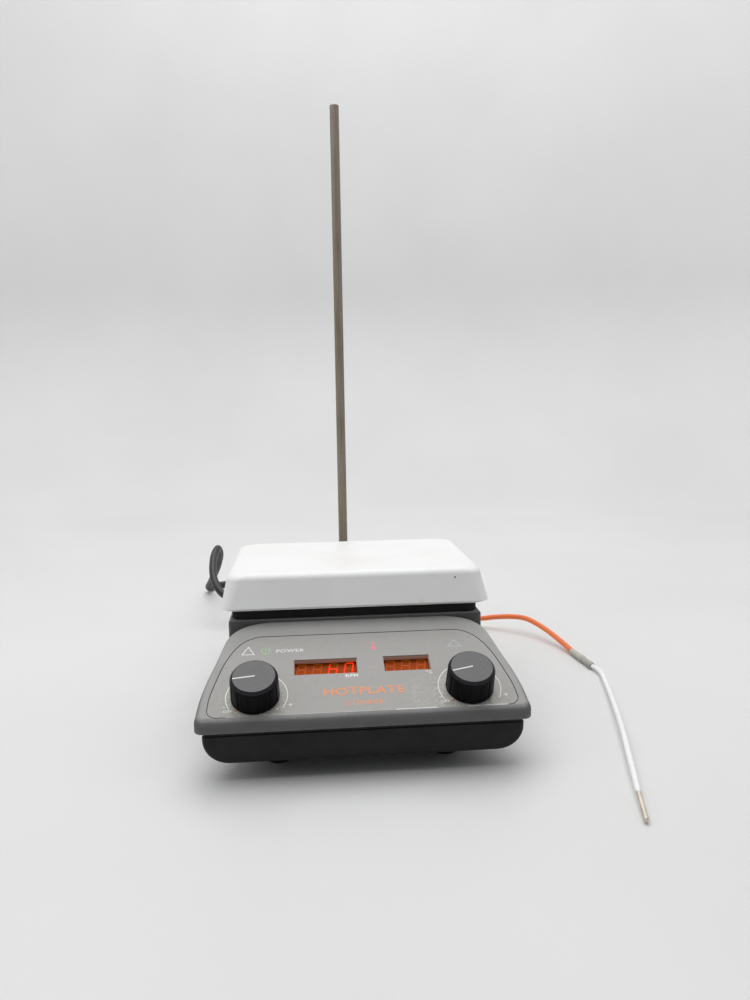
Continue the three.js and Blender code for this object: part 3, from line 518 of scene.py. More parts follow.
def panel_film():
    """The printed overlay: satin film with a fine emboss, smudges and a few pale scuffs."""
    f = Finish("panel_film", 0.42)
    smudge = f.span(f.noise(16, 5, 1.2), 0.38, 0.72)
    base = f.blend(smudge, (0.3, 0.292, 0.278), (0.345, 0.336, 0.32))
    dusty = ((-KNOB_X, KNOB_UP - 4, 25, 0.9), (KNOB_X, KNOB_UP - 4, 25, 0.9), (38, 15, 17, 0.4))
    for x, up, reach, share in dusty:
        around = f.near(PANEL @ Vector((x, up, 0)), reach)
        grime = f.times(f.span(around, 0.05, 0.42), f.span(f.noise(1.3, 6, 0.6), 0.47, 0.64))
        base = f.over(base, grime, share, (0.54, 0.51, 0.43))
    fleck = f.span(f.noise(0.6, 2), 0.6, 0.75)
    base = f.over(base, fleck, 0.3, (0.5, 0.49, 0.46))
    scuff = f.span(f.noise(1.4, 4, 0.5, f.stretched(0.12, 1, 1)), 0.7, 0.76)
    base = f.over(base, scuff, 0.5, (0.6, 0.59, 0.56))
    rough = f.span(smudge, 0, 1, 0.34, 0.52)
    f.set(Base_Color=base, Roughness=rough, Normal=f.bump(f.noise(0.35, 2), 0.18, 0.03))
    return f.material


def amber_filter():
    """A tinted acrylic filter: part clear, part milky, with a polished face."""
    f = Finish("amber_filter", 0.12)
    haze = f.span(f.noise(7, 4), 0.35, 0.7)
    f.set(Base_Color=f.blend(haze, (0.26, 0.078, 0.009), (0.315, 0.1, 0.012)), Roughness=0.2)
    f.see_through(0.88, (0.9, 0.54, 0.12))
    return f.material


def knob_plastic():
    """Black moulded plastic with a soft shine, dust in its grain, faint handling marks and a painted highlight
    band near its top.
    """
    f = Finish("knob_plastic", 0.4)
    f.set(Specular_IOR_Level=0.08)
    dust = f.span(f.noise(1.2, 4), 0.56, 0.72)
    patch = f.span(f.noise(8, 3), 0.4, 0.7)
    base = f.over((0.0012, 0.0012, 0.0018), f.times(dust, patch), 0.25, (0.014, 0.014, 0.014))
    # painted highlight: a paler band just below the top of the grip stands for its lit collar ring
    rim = f.span(f.above_panel(), (KNOB_HEIGHT - 2.1) * MM, (KNOB_HEIGHT - 1.7) * MM)
    base = f.blend(rim, base, (0.026, 0.025, 0.029))
    wear = f.times(f.edges(0.54, 0.64), 0.35)
    base = f.blend(wear, base, (0.06, 0.06, 0.065))
    rough = f.span(patch, 0, 1, 0.3, 0.46)
    f.set(Base_Color=base, Roughness=rough, Normal=f.bump(f.noise(0.4, 2), 0.14, 0.03))
    return f.material


def knob_cap_satin():
    """A dark satin disc with very fine grain and a few rub marks."""
    f = Finish("knob_cap_satin", 0.42)
    rub = f.span(f.noise(5, 5, 1.5), 0.45, 0.7)
    fleck = f.span(f.noise(0.45, 2), 0.55, 0.75)
    base = f.blend(rub, (0.07, 0.068, 0.071), (0.1, 0.097, 0.1))
    base = f.over(base, fleck, 0.25, (0.17, 0.168, 0.168))
    f.set(Base_Color=base, Roughness=f.span(rub, 0, 1, 0.36, 0.5))
    f.set(Normal=f.bump(f.noise(0.3, 2), 0.16, 0.03))
    return f.material


def printed_ink(name, colour, strength=0.0):
    """Screen-printed ink, a little uneven where it has rubbed thin."""
    f = Finish(name, 0.5)
    thin = f.span(f.noise(1.3, 4), 0.5, 0.75)
    worn = tuple(0.55 * c + 0.45 * 0.34 for c in colour)
    f.set(Base_Color=f.over(colour, thin, 0.55, worn))
    f.set(Roughness=f.span(thin, 0, 1, 0.42, 0.6))
    if strength:
        f.set(Emission_Color=colour, Emission_Strength=strength)
    return f.material


def lit_segment(name, colour, strength):
    """A display segment, its glow varying a little in patches."""
    f = Finish(name, 0.4)
    glow = f.span(f.noise(1.4, 2), 0.3, 0.7, strength * 0.8, strength)
    f.set(Base_Color=colour, Emission_Color=colour, Emission_Strength=glow)
    return f.material


def display_face():
    f = Finish("display_face", 0.35)
    shade_of = f.span(f.noise(3, 3), 0.3, 0.7)
    f.set(Base_Color=f.blend(shade_of, (0.6, 0.56, 0.42), (0.68, 0.64, 0.48)), Roughness=0.5)
    return f.material


def worn_rod_steel():
    """Old round bar: drawn lengthways, dulled brown and grey in long patches."""
    f = Finish("worn_rod_steel", 0.45, 0.75)
    drawn = f.noise(0.6, 4, 0, f.stretched(1, 1, 0.012))
    patch = f.span(f.noise(24, 6, 1.0, f.stretched(1, 1, 0.35)), 0.35, 0.68)
    spot = f.span(f.noise(2.2, 5, 0.4), 0.6, 0.7)
    base = f.blend(patch, (0.25, 0.2, 0.145), (0.33, 0.285, 0.225))
    base = f.blend(f.span(drawn, 0.35, 0.7), base, (0.38, 0.34, 0.28))
    base = f.over(base, spot, 0.55, (0.13, 0.095, 0.065))
    rough = f.span(patch, 0, 1, 0.4, 0.58)
    f.set(Base_Color=base, Roughness=rough, Metallic=f.span(spot, 0, 1, 0.75, 0.2))
    f.set(Normal=f.bump(drawn, 0.2, 0.03))
    return f.material


def sheet_metal(name, colour, roughness=0.35, stretch=(0.05, 1, 1)):
    """Plated or milled metal with a directional grain and light tarnish."""
    f = Finish(name, roughness, 1.0)
    grain = f.noise(0.4, 3, 0, f.stretched(*stretch))
    tarnish = f.span(f.noise(9, 5), 0.45, 0.75)
    dull = tuple(c * 0.6 for c in colour)
    f.set(Base_Color=f.over(colour, tarnish, 0.5, dull))
    f.set(Roughness=f.span(grain, 0.3, 0.7, roughness - 0.08, roughness + 0.12))
    f.set(Normal=f.bump(grain, 0.15, 0.02))
    return f.material


def soft_rubber(name, colour, pale, roughness=0.6, dust=0.3):
    """Rubber or soft vinyl: matt skin, a little dust and a fine leathery grain."""
    f = Finish(name, roughness)
    patch = f.span(f.noise(14, 5), 0.4, 0.72)
    fleck = f.span(f.noise(0.9, 4), 0.54, 0.72)
    base = f.over(colour, patch, dust, pale)
    base = f.over(base, fleck, dust * 0.7, pale)
    f.set(Base_Color=base, Roughness=f.span(patch, 0, 1, roughness - 0.08, roughness + 0.08))
    f.set(Normal=f.bump(f.noise(0.6, 3), 0.18, 0.04))
    return f.material


def cable_jacket():
    """Orange silicone jacket with a soft sheen and slight soiling."""
    f = Finish("orange_jacket", 0.42)
    soil = f.span(f.noise(11, 5, 0.5), 0.45, 0.75)
    base = f.over((0.9, 0.19, 0.042), soil, 0.35, (0.66, 0.15, 0.045))
    f.set(Base_Color=base, Roughness=f.span(soil, 0, 1, 0.36, 0.5), Sheen_Weight=0.15)
    f.set(Subsurface_Weight=0.05, Normal=f.bump(f.noise(0.8, 3), 0.12, 0.03))
    return f.material


def probe_sleeving():
    """White fluoropolymer sleeve, slightly translucent, greyed here and there."""
    f = Finish("probe_sleeving", 0.38)
    grey = f.span(f.noise(8, 5, 0.5), 0.5, 0.75)
    base = f.over((0.93, 0.93, 0.92), grey, 0.4, (0.72, 0.71, 0.68))
    f.set(Base_Color=base, Roughness=f.span(grey, 0, 1, 0.34, 0.5), Coat_Weight=0.15)
    f.set(Normal=f.bump(f.noise(1.2, 3), 0.15, 0.04))
    return f.material


def circuit_board():
    f = Finish("circuit_board", 0.4)
    tracks = f.span(f.cells(2.4), 0.42, 0.5)
    base = f.over((0.012, 0.1, 0.04), tracks, 0.5, (0.03, 0.2, 0.07))
    f.set(Base_Color=base, Roughness=0.4, Normal=f.bump(tracks, 0.2, 0.03))
    return f.material


def fibre_blanket():
    f = Finish("fibre_blanket", 0.95)
    fibres = f.noise(0.8, 6, 2.5)
    f.set(Base_Color=f.blend(fibres, (0.6, 0.58, 0.53), (0.85, 0.83, 0.78)), Sheen_Weight=0.3)
    f.set(Normal=f.bump(fibres, 0.6, 0.3))
    return f.material


def studio_floor():
    """Pale seamless paper: clear from behind, and lighting the object from its rear wall only."""
    f = Finish("studio_floor", 0.55)
    cloud = f.span(f.noise(300, 3), 0.3, 0.7)
    f.set(Base_Color=f.blend(cloud, (0.7, 0.7, 0.695), (0.74, 0.74, 0.735)))
    raised = f.span(f.axis(f.place, "Z"), (BENCH + 20) * MM, (BENCH + 120) * MM)
    forward = f.span(f.axis(f.place, "Y"), 0.4, 0.8, 1, 0)
    unseen = f.span(f.node("LightPath", "Is Camera Ray"), 0, 1, 1, 0)
    behind = f.node("NewGeometry", "Backfacing")
    hidden = f.times(f.times(raised, forward), unseen)
    f.see_through(f.times(hidden, behind, "MAXIMUM"), (1, 1, 1))
    return f.material


WHITE_INK = printed_ink("white_ink", (0.78, 0.78, 0.76))
FAINT_INK = printed_ink("faint_ink", (0.42, 0.42, 0.405))
ORANGE_INK = printed_ink("orange_ink", (0.8, 0.27, 0.085))
RED_INK = printed_ink("red_ink", (0.52, 0.15, 0.1))
GREEN_GLOW = printed_ink("green_glow", (0.23, 0.5, 0.17), 0.24)
PINK_GLOW = printed_ink("pink_glow", (0.8, 0.16, 0.22), 0.14)
SEGMENT_LIT = lit_segment("segment_lit", (1.0, 0.07, 0.025), 1.9)
# painted light: the displays' orange glow on the shaded walls of their recesses
RECESS_PAINTED_GLOW = printed_ink("recess_painted_glow", (0.5, 0.34, 0.27), 0.06)
# painted light: the unlit segments glow faintly, though no current lights them
SEGMENT_UNLIT_GLOW = lit_segment("segment_unlit_glow", (0.95, 0.8, 0.66), 0.2)
TIP_STEEL = sheet_metal("tip_steel", (0.8, 0.745, 0.64), 0.56, (1, 0.05, 1))
SHRINK_DARK = soft_rubber("shrink_tube_dark", (0.4, 0.38, 0.34), (0.5, 0.48, 0.44), 0.5)

SLOT_FINISH = {
    "white_ceramic": glass_ceramic(),
    "grey_housing": moulded_plastic(
        # painted light: the second colour is the lit colour of the upward faces
        "housing_grey", (0.105, 0.104, 0.103), (0.34, 0.335, 0.328), (0.4, 0.395, 0.385)
    ),
    "charcoal_tray": moulded_plastic(
        # painted light: the second colour is a painted sheen on the upward faces
        "tray_charcoal", (0.006, 0.0058, 0.0065), (0.012, 0.012, 0.012), (0.03, 0.03, 0.03),
        dust=0.18,
    ),
    "panel_film": panel_film(),
    "black_plastic": knob_plastic(),
    "cap_grey": knob_cap_satin(),
    "amber_filter": amber_filter(),
    "display_module": display_face(),
    "circuit_board": circuit_board(),
    "green_light": GREEN_GLOW,
    "red_light": PINK_GLOW,
    "rubber": soft_rubber("foot_rubber", (0.004, 0.004, 0.004), (0.02, 0.019, 0.018), 0.9),
    "plated_steel": sheet_metal("plated_steel", (0.62, 0.61, 0.58), 0.34),
    "worn_steel": worn_rod_steel(),
    "aluminium": sheet_metal("aluminium", (0.7, 0.71, 0.72), 0.36, (1, 1, 0.05)),
    "brass": sheet_metal("brass", (0.68, 0.48, 0.2), 0.3),
    "ceramic_fibre": fibre_blanket(),
    "magnet": sheet_metal("magnet", (0.12, 0.12, 0.125), 0.45),
    "cord_rubber": soft_rubber("cord_skin", (0.017, 0.017, 0.018), (0.09, 0.09, 0.09), 0.44, 0.35),
    "orange_cable": cable_jacket(),
    "white_sleeve": probe_sleeving(),
    "shrink_grey": soft_rubber("shrink_tube", (0.5, 0.48, 0.42), (0.6, 0.58, 0.53), 0.55),
}


# ---------------- hot plate

def build_top_plate():
    """One glazed shell: inside face, lower rim, flared skirt, rolled edge and flat top."""
    half_width, half_depth = PLATE.size.x / 2, PLATE.size.y / 2
    wall, lean, roll, rim, corner = 4.5, 5.0, 5.2, 1.1, 7.5
    outer_rounding = 0.6
    low, high = PLATE.low.z, PLATE.high.z

    def lean_at(z):
        return lean * (z - low) / (high - low)

    def ring(inwards, z, rounding=0.25):
        """A level outline; rounding is how fast its corners widen as it moves inwards."""
        radius = corner + inwards * rounding
        return at_height(rounded_rectangle(half_width - inwards, half_depth - inwards, radius), z)

    edge = high - roll
    ceiling = high - wall
    within, bend = wall + lean_at(ceiling), 2.5
    rings = [ring(within + bend, ceiling), ring(within, ceiling - bend), ring(wall, low + rim)]
    for k in range(7):
        angle = math.pi * k / 6
        middle = wall / 2
        rings.append(ring(middle + middle * math.cos(angle), low + rim * (1 - math.sin(angle))))
    for k in range(1, 5):
        z = low + rim + (edge - low - rim) * k / 4
        rings.append(ring(lean_at(z), z, outer_rounding))
    for k in range(1, 10):
        angle = math.pi / 2 * k / 9
        inwards = lean_at(edge) + roll * (1 - math.cos(angle))
        rings.append(ring(inwards, edge + roll * math.sin(angle), outer_rounding))
    plate = skinned("ceramic_top", rings)
    place(weighted(plate), "white_ceramic", "top_plate")


# ---------------- housing

LIP_CORNER = 5.8  # radius of the front corners in plan
TRAY_CORNER = 7.0
CONSOLE_LENGTH = 83.0
DECK_FRONT = panel_y(CONSOLE_LENGTH) + 0.3
DECK_TOP = HOUSING.high.z
HOUSING_LOW = HOUSING.low.z
FRONT_HALF = HOUSING.size.x / 2
REAR_HALF = 84.0
REAR_CORNER = 12.0
NOTCH_FLOOR = 66.5  # height above the bench of the ledges beyond the panel's rear corners
WALL = 3.0
FRONT_ROLL, REAR_ROLL = 4.4, 1.3  # radius of the console's upper edge, at each end


def console_roll(y):
    """The upper edge's radius, large along the front lip and small at the back."""
    part = min(1, max(0, (y - panel_y(8)) / (panel_y(60) - panel_y(8))))
    return FRONT_ROLL + (REAR_ROLL - FRONT_ROLL) * part


def front_side(corner, rear):
    """The right-hand front corner and swept side, on through rear (half width, up) points."""
    lip_x, lip_y = FRONT_HALF - corner, HOUSING.low.y + corner
    swept = [(96.6, 20), (93.5, 34), (89.3, 48), *rear]
    points = [(FRONT_HALF, lip_y)] + [(x, panel_y(up)) for x, up in swept]
    return arc((lip_x, lip_y), corner, -90, 0, 8)[:-1] + smooth_through(points, 5)


def rear_corner(steps):
    middle = (REAR_HALF - REAR_CORNER, HOUSING.high.y - REAR_CORNER)
    return arc(middle, REAR_CORNER, 0, 90, steps)


def console_outline():
    """The console in plan: rolled front corners, swept sides, rounded corners at the back."""
    rear = [(85.8, 61), (83.4, 69), (79.2, 75.2), (72.6, 79.9), (64.5, 82.5), (57.0, 83.6)]
    return mirrored(front_side(LIP_CORNER, rear))


def tray_outline():
    """The tray's parent outline: the console's sides run straight back to the rear corners."""
    rear = [(85.6, 61), (REAR_HALF, 72), (REAR_HALF, 84)]
    return mirrored(front_side(TRAY_CORNER, rear) + rear_corner(10))


def deck_outline(front_corner):
    middle = (REAR_HALF - front_corner, DECK_FRONT + front_corner)
    return mirrored(arc(middle, front_corner, -90, 0, 5) + rear_corner(12))


def rolled_block(name, outline, low, top, roll, foot=0.8, steps=6):
    """A closed block on an outline, its top edge rolled and its lower edge eased.

    top and roll are numbers or functions of y."""
    height, radius = varying(top), varying(roll)
    rings = [at_height(inset(outline, foot), low)]
    rings.append(at_height(inset(outline, foot * 0.3), low + foot * 0.3))
    rings.append(at_height(outline, low + foot))
    for k in range(steps + 1):
        angle = math.pi / 2 * k / steps
        over, down = 1 - math.cos(angle), 1 - math.sin(angle)
        inwards = inset(outline, lambda y: radius(y) * over)
        rings.append(at_height(inwards, lambda y: height(y) - radius(y) * down))
    return skinned(name, rings)


def hollow(name, outline, low, top):
    """The space inside a wall, open below."""
    return prism(name, inset(outline, WALL), low, top)


def overlay_outline(margin=0.0):
    side = smooth_through(
        [(91, 9.3), (90.3, 19), (87.7, 31), (83.6, 46), (78, 58), (71.8, 65.2), (64, 69)], 5
    )
    corner = arc((85.3, 9.5), 5.7, -90, 0, 8)[:-1]
    return inset(mirrored(corner + side), margin)


def panel_block(name, x, up, width, height, low, high):
    obj = block(name, width, height, high - low, (x, up, (low + high) / 2))
    return move_mesh(obj, PANEL)


def panel_pin(name, x, up, radius, low, high, sides=40):
    return move_mesh(shift(peg(name, radius, low, high, sides), x, up), PANEL)


class Display:
    """An opening in the panel, from its display module, which is a known border larger."""

    border = 1.0
    depth = 7.0  # of the module, from its face down
    height = 12.8

    def __init__(self, node, digits):
        module = NodeBox(node)
        middle = PANEL.inverted() @ module.centre
        self.digits = digits
        self.x = middle.x
        self.up = middle.y
        self.width = module.size.x - 2 * self.border
        self.face = middle.z + self.depth / 2


STIR_DISPLAY = Display("stir_display", ["", "", "6", "0"])
HEAT_DISPLAY = Display("heat_display", ["", "", ""])
DISPLAYS = {"stir": STIR_DISPLAY, "heat": HEAT_DISPLAY}


def housing_body():
    """The console, the deck behind it and the low apron that joins them beside the panel."""
    shell = rolled_block("housing_shell", console_outline(), HOUSING_LOW, panel_z, console_roll)
    rear = rolled_block("deck", deck_outline(2.2), HOUSING_LOW, DECK_TOP, 1.5)
    high, low = BENCH + NOTCH_FLOOR, HOUSING_LOW + 1
    front = PANEL_ORIGIN.y + (high - PANEL_ORIGIN.z) / math.tan(SLOPE) + 2
    back = DECK_FRONT + 3
    centre = (0, (back + front) / 2, (high + low) / 2)
    apron = block("apron", 2 * REAR_HALF - 0.2, back - front, high - low, centre)
    return combine(shell, [rear, apron], "UNION")


def panel_openings():
    """Cutters for what shows through the panel: displays, shafts and lights."""
    recess = prism("recess", overlay_outline(-0.45), -1.15, 6)
    cutters = [move_mesh(recess, PANEL)]
    for name, d in DISPLAYS.items():
        cutters.append(panel_block(f"{name}_opening", d.x, d.up, d.width, d.height, -9, 4))
    for x in (-KNOB_X, KNOB_X):
        cutters.append(panel_pin("pot_hole", x, KNOB_UP, POT_HOLE, -9, 4))
    for node in ("power_light", "heat_light"):
        light = PANEL.inverted() @ NodeBox(node).centre
        cutters.append(panel_pin("light_hole", light.x, light.y, 2.5, -9, 4, 24))
    return cutters


def deck_and_rear_openings():
    """Cutters for the magnets' well, the rod, the mains inlet, the probe's jack and the vents."""
    magnet_well, socket_hole, jack_hole = 38, 8.3, 5.3  # radii
    inlet_width, inlet_height = 28.6, 20.6
    magnets = peg("magnet_opening", magnet_well, 0, 15, 96)
    cutters = [
        shift(magnets, 0, 0, NodeBox("magnet_holder").high.z - 14),
        shift(peg("socket_hole", socket_hole, 0, 15), 0, ROD.centre.y, DECK_TOP - 10),
    ]
    wall_y = HOUSING.high.y - WALL / 2
    inlet_place = (INLET.centre.x, wall_y, INLET.centre.z)
    cutters.append(block("inlet_opening", inlet_width, WALL + 2, inlet_height, inlet_place))
    jack_place = Matrix.Translation((JACK.centre.x, wall_y, JACK.centre.z))
    jack = peg("jack_hole", jack_hole, -5, 5, 40)
    cutters.append(move_mesh(jack, jack_place @ Matrix.Rotation(math.pi / 2, 4, "X")))
    for slot in range(-3, 4):
        outline = rounded_rectangle(1.5, 12, 1.45, 5)
        vent = skinned("vent", [[Vector((p.x, z, p.y)) for p in outline] for z in (-4, 4)])
        cutters.append(shift(vent, slot * 8, wall_y, BENCH + 54))
    return cutters


def build_housing():
    drop = WALL / math.cos(SLOPE)
    low = HOUSING_LOW - 5
    cutters = [
        hollow("console_space", console_outline(), low, lambda y: panel_z(y) - drop),
        hollow("deck_space", deck_outline(4.5), low, DECK_TOP - WALL),
    ]
    shell = combine(housing_body(), cutters + panel_openings() + deck_and_rear_openings())
    place(weighted(shell), "grey_housing", "upper_housing")


def build_gasket():
    """The soft frame under the hot plate, reaching almost to the deck's edges: partly the real black frame, partly
    painted shade, its black standing for the plate's shadow on the deck's top.
    """
    gasket = NodeBox("plate_gasket")
    # painted shade: the small ledge lets the black frame cover the deck's top almost to its edges, where the
    # plate's shadow falls
    ledge, width, ease = 1.9, 7.0, 0.5
    half_width = REAR_HALF - ledge
    half_depth = -DECK_FRONT - ledge
    low, high = gasket.low.z, gasket.high.z
    section = [(ease, low), (0, low + ease), (0, high - ease), (ease, high)]
    section += [(width - ease, high), (width, high - ease), (width, low + ease), (width - ease, low)]
    rings = []
    for inwards, z in section:
        outline = rounded_rectangle(half_width - inwards, half_depth - inwards, 8 - inwards * 0.6)
        rings.append(at_height(outline, z))
    frame_piece = skinned("gasket_frame", rings, closed_loop=True)
    place(weighted(frame_piece), "rubber", "plate_gasket")


def build_tray():
    """The lower hull: flat sole, rounded bilges, a ledge and an upright tongue inside."""
    outline = tray_outline()
    bilge_width, bilge_height, tuck = 16.0, 15.0, 4.0
    middle = (HOUSING.low.y + HOUSING.high.y) / 2
    half_depth = HOUSING.size.y / 2
    set_back, wall = 4.0, 2.5
    low, ledge, tongue = TRAY.low.z, BENCH + 30, TRAY.high.z

    def ring(under, z, inwards):
        across = 1 - bilge_width * under / FRONT_HALF
        along = 1 - tuck * under / half_depth
        points = inset(outline, inwards)
        return [Vector((p.x * across, middle + (p.y - middle) * along, z)) for p in points]

    rings = []
    for k in range(11):
        angle = math.pi / 2 * k / 10
        rings.append(ring(1 - math.sin(angle), low + bilge_height * (1 - math.cos(angle)), set_back))
    lip = ((ledge - 0.5, 0), (ledge - 0.12, 0.15), (ledge, 0.5), (ledge, 0.8))
    for z, inwards in (*lip, (tongue, 0.8), (tongue, wall)):
        rings.append(ring(0, z, set_back + inwards))
    for k in range(7):
        angle = math.pi / 2 * (1 - k / 6)
        z = low + wall + (bilge_height - wall) * (1 - math.cos(angle))
        rings.append(ring(1 - math.sin(angle), z, set_back + wall))
    tray = skinned("tray_hull", rings)

    cutters = []
    for k in range(-3, 4):
        vent = prism("sole_vent", rounded_rectangle(2, 20, 1.95, 5), -6, 6)
        cutters.append(shift(vent, k * 12, 40, low))
    for number in range(1, 5):
        screw = NodeBox(f"base_screw_{number}").centre
        cutters.append(shift(peg("screw_pocket", 4, -5, 2.4, 32), screw.x, screw.y, low))
        foot = NodeBox(f"foot_{number}").centre
        cutters.append(shift(peg("foot_socket", 3.3, -5, 6, 24), foot.x, foot.y, low))
    place(weighted(combine(tray, cutters)), "charcoal_tray", "base_tray")


def build_feet_and_screws():
    stud, stud_height = 3, 4
    head = [(0, 0), (3.4, 0.3), (3.6, 2), (1.9, 2), (1.9, 31), (0, 31)]
    for number in range(1, 5):
        foot = NodeBox(f"foot_{number}")
        radius, height = foot.size.x / 2, TRAY.low.z - BENCH
        profile = rounded_profile([
            (0, 0.5), (radius - 4, 0.5), (radius - 4, 0), (radius - 1, 0), (radius, height),
            (stud, height), (stud, height + stud_height), (0, height + stud_height),
        ], 0.8)
        pad = shift(turned(f"rubber_foot_{number}", profile), foot.centre.x, foot.centre.y, BENCH)
        place(pad, "rubber", f"foot_{number}")

        node = f"base_screw_{number}"
        screw = NodeBox(node)
        body = turned(f"tray_screw_{number}", rounded_profile(head, 0.4), 32)
        combine(body, [block("slot", *size, 2, (0, 0, 0.2)) for size in ((4, 0.9), (0.9, 4))])
        shift(body, screw.centre.x, screw.centre.y, screw.low.z)
        place(body, "plated_steel", node)


# ---------------- control panel

PRINT_HEIGHT = 0.04  # how far printed marks stand above the film


def stroke(name, points, width, closed=False, low=-0.02, high=PRINT_HEIGHT):
    """A thin printed line through points on the panel, mitred at its corners."""
    points = [Vector(p) for p in points]
    count = len(points)
    rings = []
    for i, point in enumerate(points):
        before = points[i - 1] if closed or i > 0 else point
        after = points[(i + 1) % count] if closed or i < count - 1 else point
        first = (point - before).normalized() if before != point else (after - point).normalized()
        second = (after - point).normalized() if after != point else first
        along = (first + second).normalized()
        reach = width / 2 / max(0.35, along.dot(first))
        side = Vector((-along.y, along.x)) * reach
        corners = ((1, low), (-1, low), (-1, high), (1, high))
        rings.append([(*(point + side * way), z) for way, z in corners])
    return move_mesh(skinned(name, rings, closed), PANEL)


def patch(name, outline, low=-0.02, high=PRINT_HEIGHT):
    """A thin filled shape on the panel."""
    return move_mesh(prism(name, outline, low, high), PANEL)


def printed_word(name, body, x, up, width, height, bold=0.0):
    """A word in the plain built-in typeface, fitted to a width and a height on the panel."""
    curve = bpy.data.curves.new(name, "FONT")
    curve.body = body
    curve.extrude = 0.5
    curve.offset = bold
    curve.space_character = 1.08
    holder = bpy.data.objects.new(name, curve)
    mesh = bpy.data.meshes.new_from_object(holder)
    bpy.data.objects.remove(holder)
    lows = Vector([min(v.co[i] for v in mesh.vertices) for i in range(3)])
    highs = Vector([max(v.co[i] for v in mesh.vertices) for i in range(3)])
    size = highs - lows
    mesh.transform(Matrix.Translation(-(lows + highs) / 2))
    mesh.transform(Matrix.Diagonal((width / size.x * MM, height / size.y * MM, PRINT_HEIGHT * MM, 1)))
    obj = bpy.data.objects.new(name, mesh)
    bpy.context.collection.objects.link(obj)
    return move_mesh(obj, PANEL @ Matrix.Translation((x, up, PRINT_HEIGHT / 2)))


def on_film(ink, *marks):
    for mark in marks:
        place(mark, "panel_film", finish=ink)


def circle(centre, radius, steps=24):
    return arc(centre, radius, 0, 360, steps)[:-1]


def build_dial_marks(name, knob_x, right, radius):
    """The scale round a knob, moved right a little, with OFF, a red dot, a minus and a plus."""
    off_x, plus_x = knob_x - 16.2 + right, knob_x + 20.6
    scale = arc((knob_x + right, KNOB_UP), radius, -32, 212, 72)
    on_film(
        WHITE_INK,
        stroke(f"{name}_dial_arc", scale, 0.55),
        printed_word(f"{name}_off_word", "OFF", off_x, 8.0, 5.2, 2.0, 0.02),
        stroke(f"{name}_minus", [(off_x - 3.2, 11.4), (off_x - 1.6, 11.4)], 0.5),
        stroke(f"{name}_plus_across", [(plus_x - 1.2, 11.1), (plus_x + 1.2, 11.1)], 0.6),
        stroke(f"{name}_plus_up", [(plus_x, 9.9), (plus_x, 12.3)], 0.6),
    )
    on_film(RED_INK, patch(f"{name}_off_dot", circle((off_x + 4.8, 8.4), 0.7)))


def build_edge_wear_highlight():
    """The film's front edge, rubbed pale in stretches: partly wear, partly a painted highlight along the edge."""
    up, bow = 3.62, 0.06
    ends = (-80, -34, -7, 18, 42, 60, 84)
    inks = (FAINT_INK, FAINT_INK, FAINT_INK, WHITE_INK, FAINT_INK, WHITE_INK)
    for number, (start, end, ink) in enumerate(zip(ends, ends[1:], inks), 1):
        line = [(start, up), ((start + end) / 2, up + bow), (end, up)]
        on_film(ink, stroke(f"edge_wear_highlight_{number}", line, 0.55))


def build_marks():
    """Print on the film, placed by (x, up the slope) from the middle of its front edge."""
    build_dial_marks("stir", -KNOB_X, 0.8, 18.1)
    build_dial_marks("heat", KNOB_X, 0, 18.8)
    build_edge_wear_highlight()

    notice = [(-73.5, 53.5), (-66.0, 53.5), (-69.75, 60.1)]
    on_film(
        WHITE_INK,
        patch("stir_end_dot", circle((13.1 - KNOB_X, 8.6), 0.6)),
        stroke("notice_triangle", notice, 0.6, closed=True),
        printed_word("power_word", "POWER", -43.6, 55.7, 17.4, 2.7, 0.01),
        printed_word("speed_unit", "RPM", -6.2, 32.0, 7.6, 2.3, 0.03),
        stroke("degree_ring", circle((39.9, 33.1), 0.5, 16), 0.3, closed=True),
        printed_word("celsius_word", "C", 42.2, 32.0, 2.0, 2.3, 0.03),
    )
    faint = [(56.4, 53.4), (64.8, 53.4), (60.6, 59.2)]
    on_film(FAINT_INK, stroke("faint_triangle", faint, 1.0, closed=True))
    power = (-58.9, 56.4)
    on_film(
        GREEN_GLOW,
        stroke("power_ring", arc(power, 2.6, 125, 415, 40), 0.5),
        stroke("power_bar", [power, (power[0], 59.4)], 0.5),
    )
    bulb = arc((8.9, 55.0), 1.5, 114, 426, 28)
    stem = arc((8.9, 59.8), 0.58, 0, 180, 10)
    on_film(PINK_GLOW, patch("thermometer", bulb + stem))
    on_film(
        ORANGE_INK,
        printed_word("type_word", "HOTPLATE", 0.5, 19.5, 48.2, 5.9, 0.015),
        printed_word("type_word_small", "STIRRER", 0.5, 10.3, 23.0, 3.4, 0.0),
    )


def build_overlay():
    edge = ((0.0, -0.8), (0.0, -0.18), (0.05, -0.05), (0.18, 0.0))
    film = skinned("overlay_film", [at_height(overlay_outline(m), z) for m, z in edge])
    move_mesh(film, PANEL)
    cutters = [
        panel_block(f"{name}_film_opening", d.x, d.up, d.width, d.height, -3, 3)
        for name, d in DISPLAYS.items()
    ]
    cutters += [panel_pin("film_hole", x, KNOB_UP, POT_HOLE, -3, 3) for x in (-KNOB_X, KNOB_X)]
    place(weighted(combine(film, cutters)), "panel_film", "panel_overlay")


SEGMENTS_OF = {"": "", "0": "abcdef", "6": "cdefg"}


def segment_outlines(width, height, thick):
    """The seven bars of a digit, a to g, as outlines about its centre."""
    gap, nose = 0.12, thick / 2
    x, y = width / 2 - nose, height / 2 - nose

    def bar(centre, length, upright=False):
        half = length / 2 - gap
        right = [(half - nose, -nose), (half, 0), (half - nose, nose)]
        shape = [(-half, 0), (nose - half, -nose), *right, (nose - half, nose)]
        middle_x, middle_y = centre
        if upright:
            return [(middle_x - py, middle_y + px) for px, py in shape]
        return [(middle_x + px, middle_y + py) for px, py in shape]

    bars = {letter: bar((0, up), 2 * x) for letter, up in (("a", y), ("d", -y), ("g", 0))}
    sides = {"b": (x, y / 2), "c": (x, -y / 2), "e": (-x, -y / 2), "f": (-x, y / 2)}
    bars.update({letter: bar(centre, y, True) for letter, centre in sides.items()})
    return bars


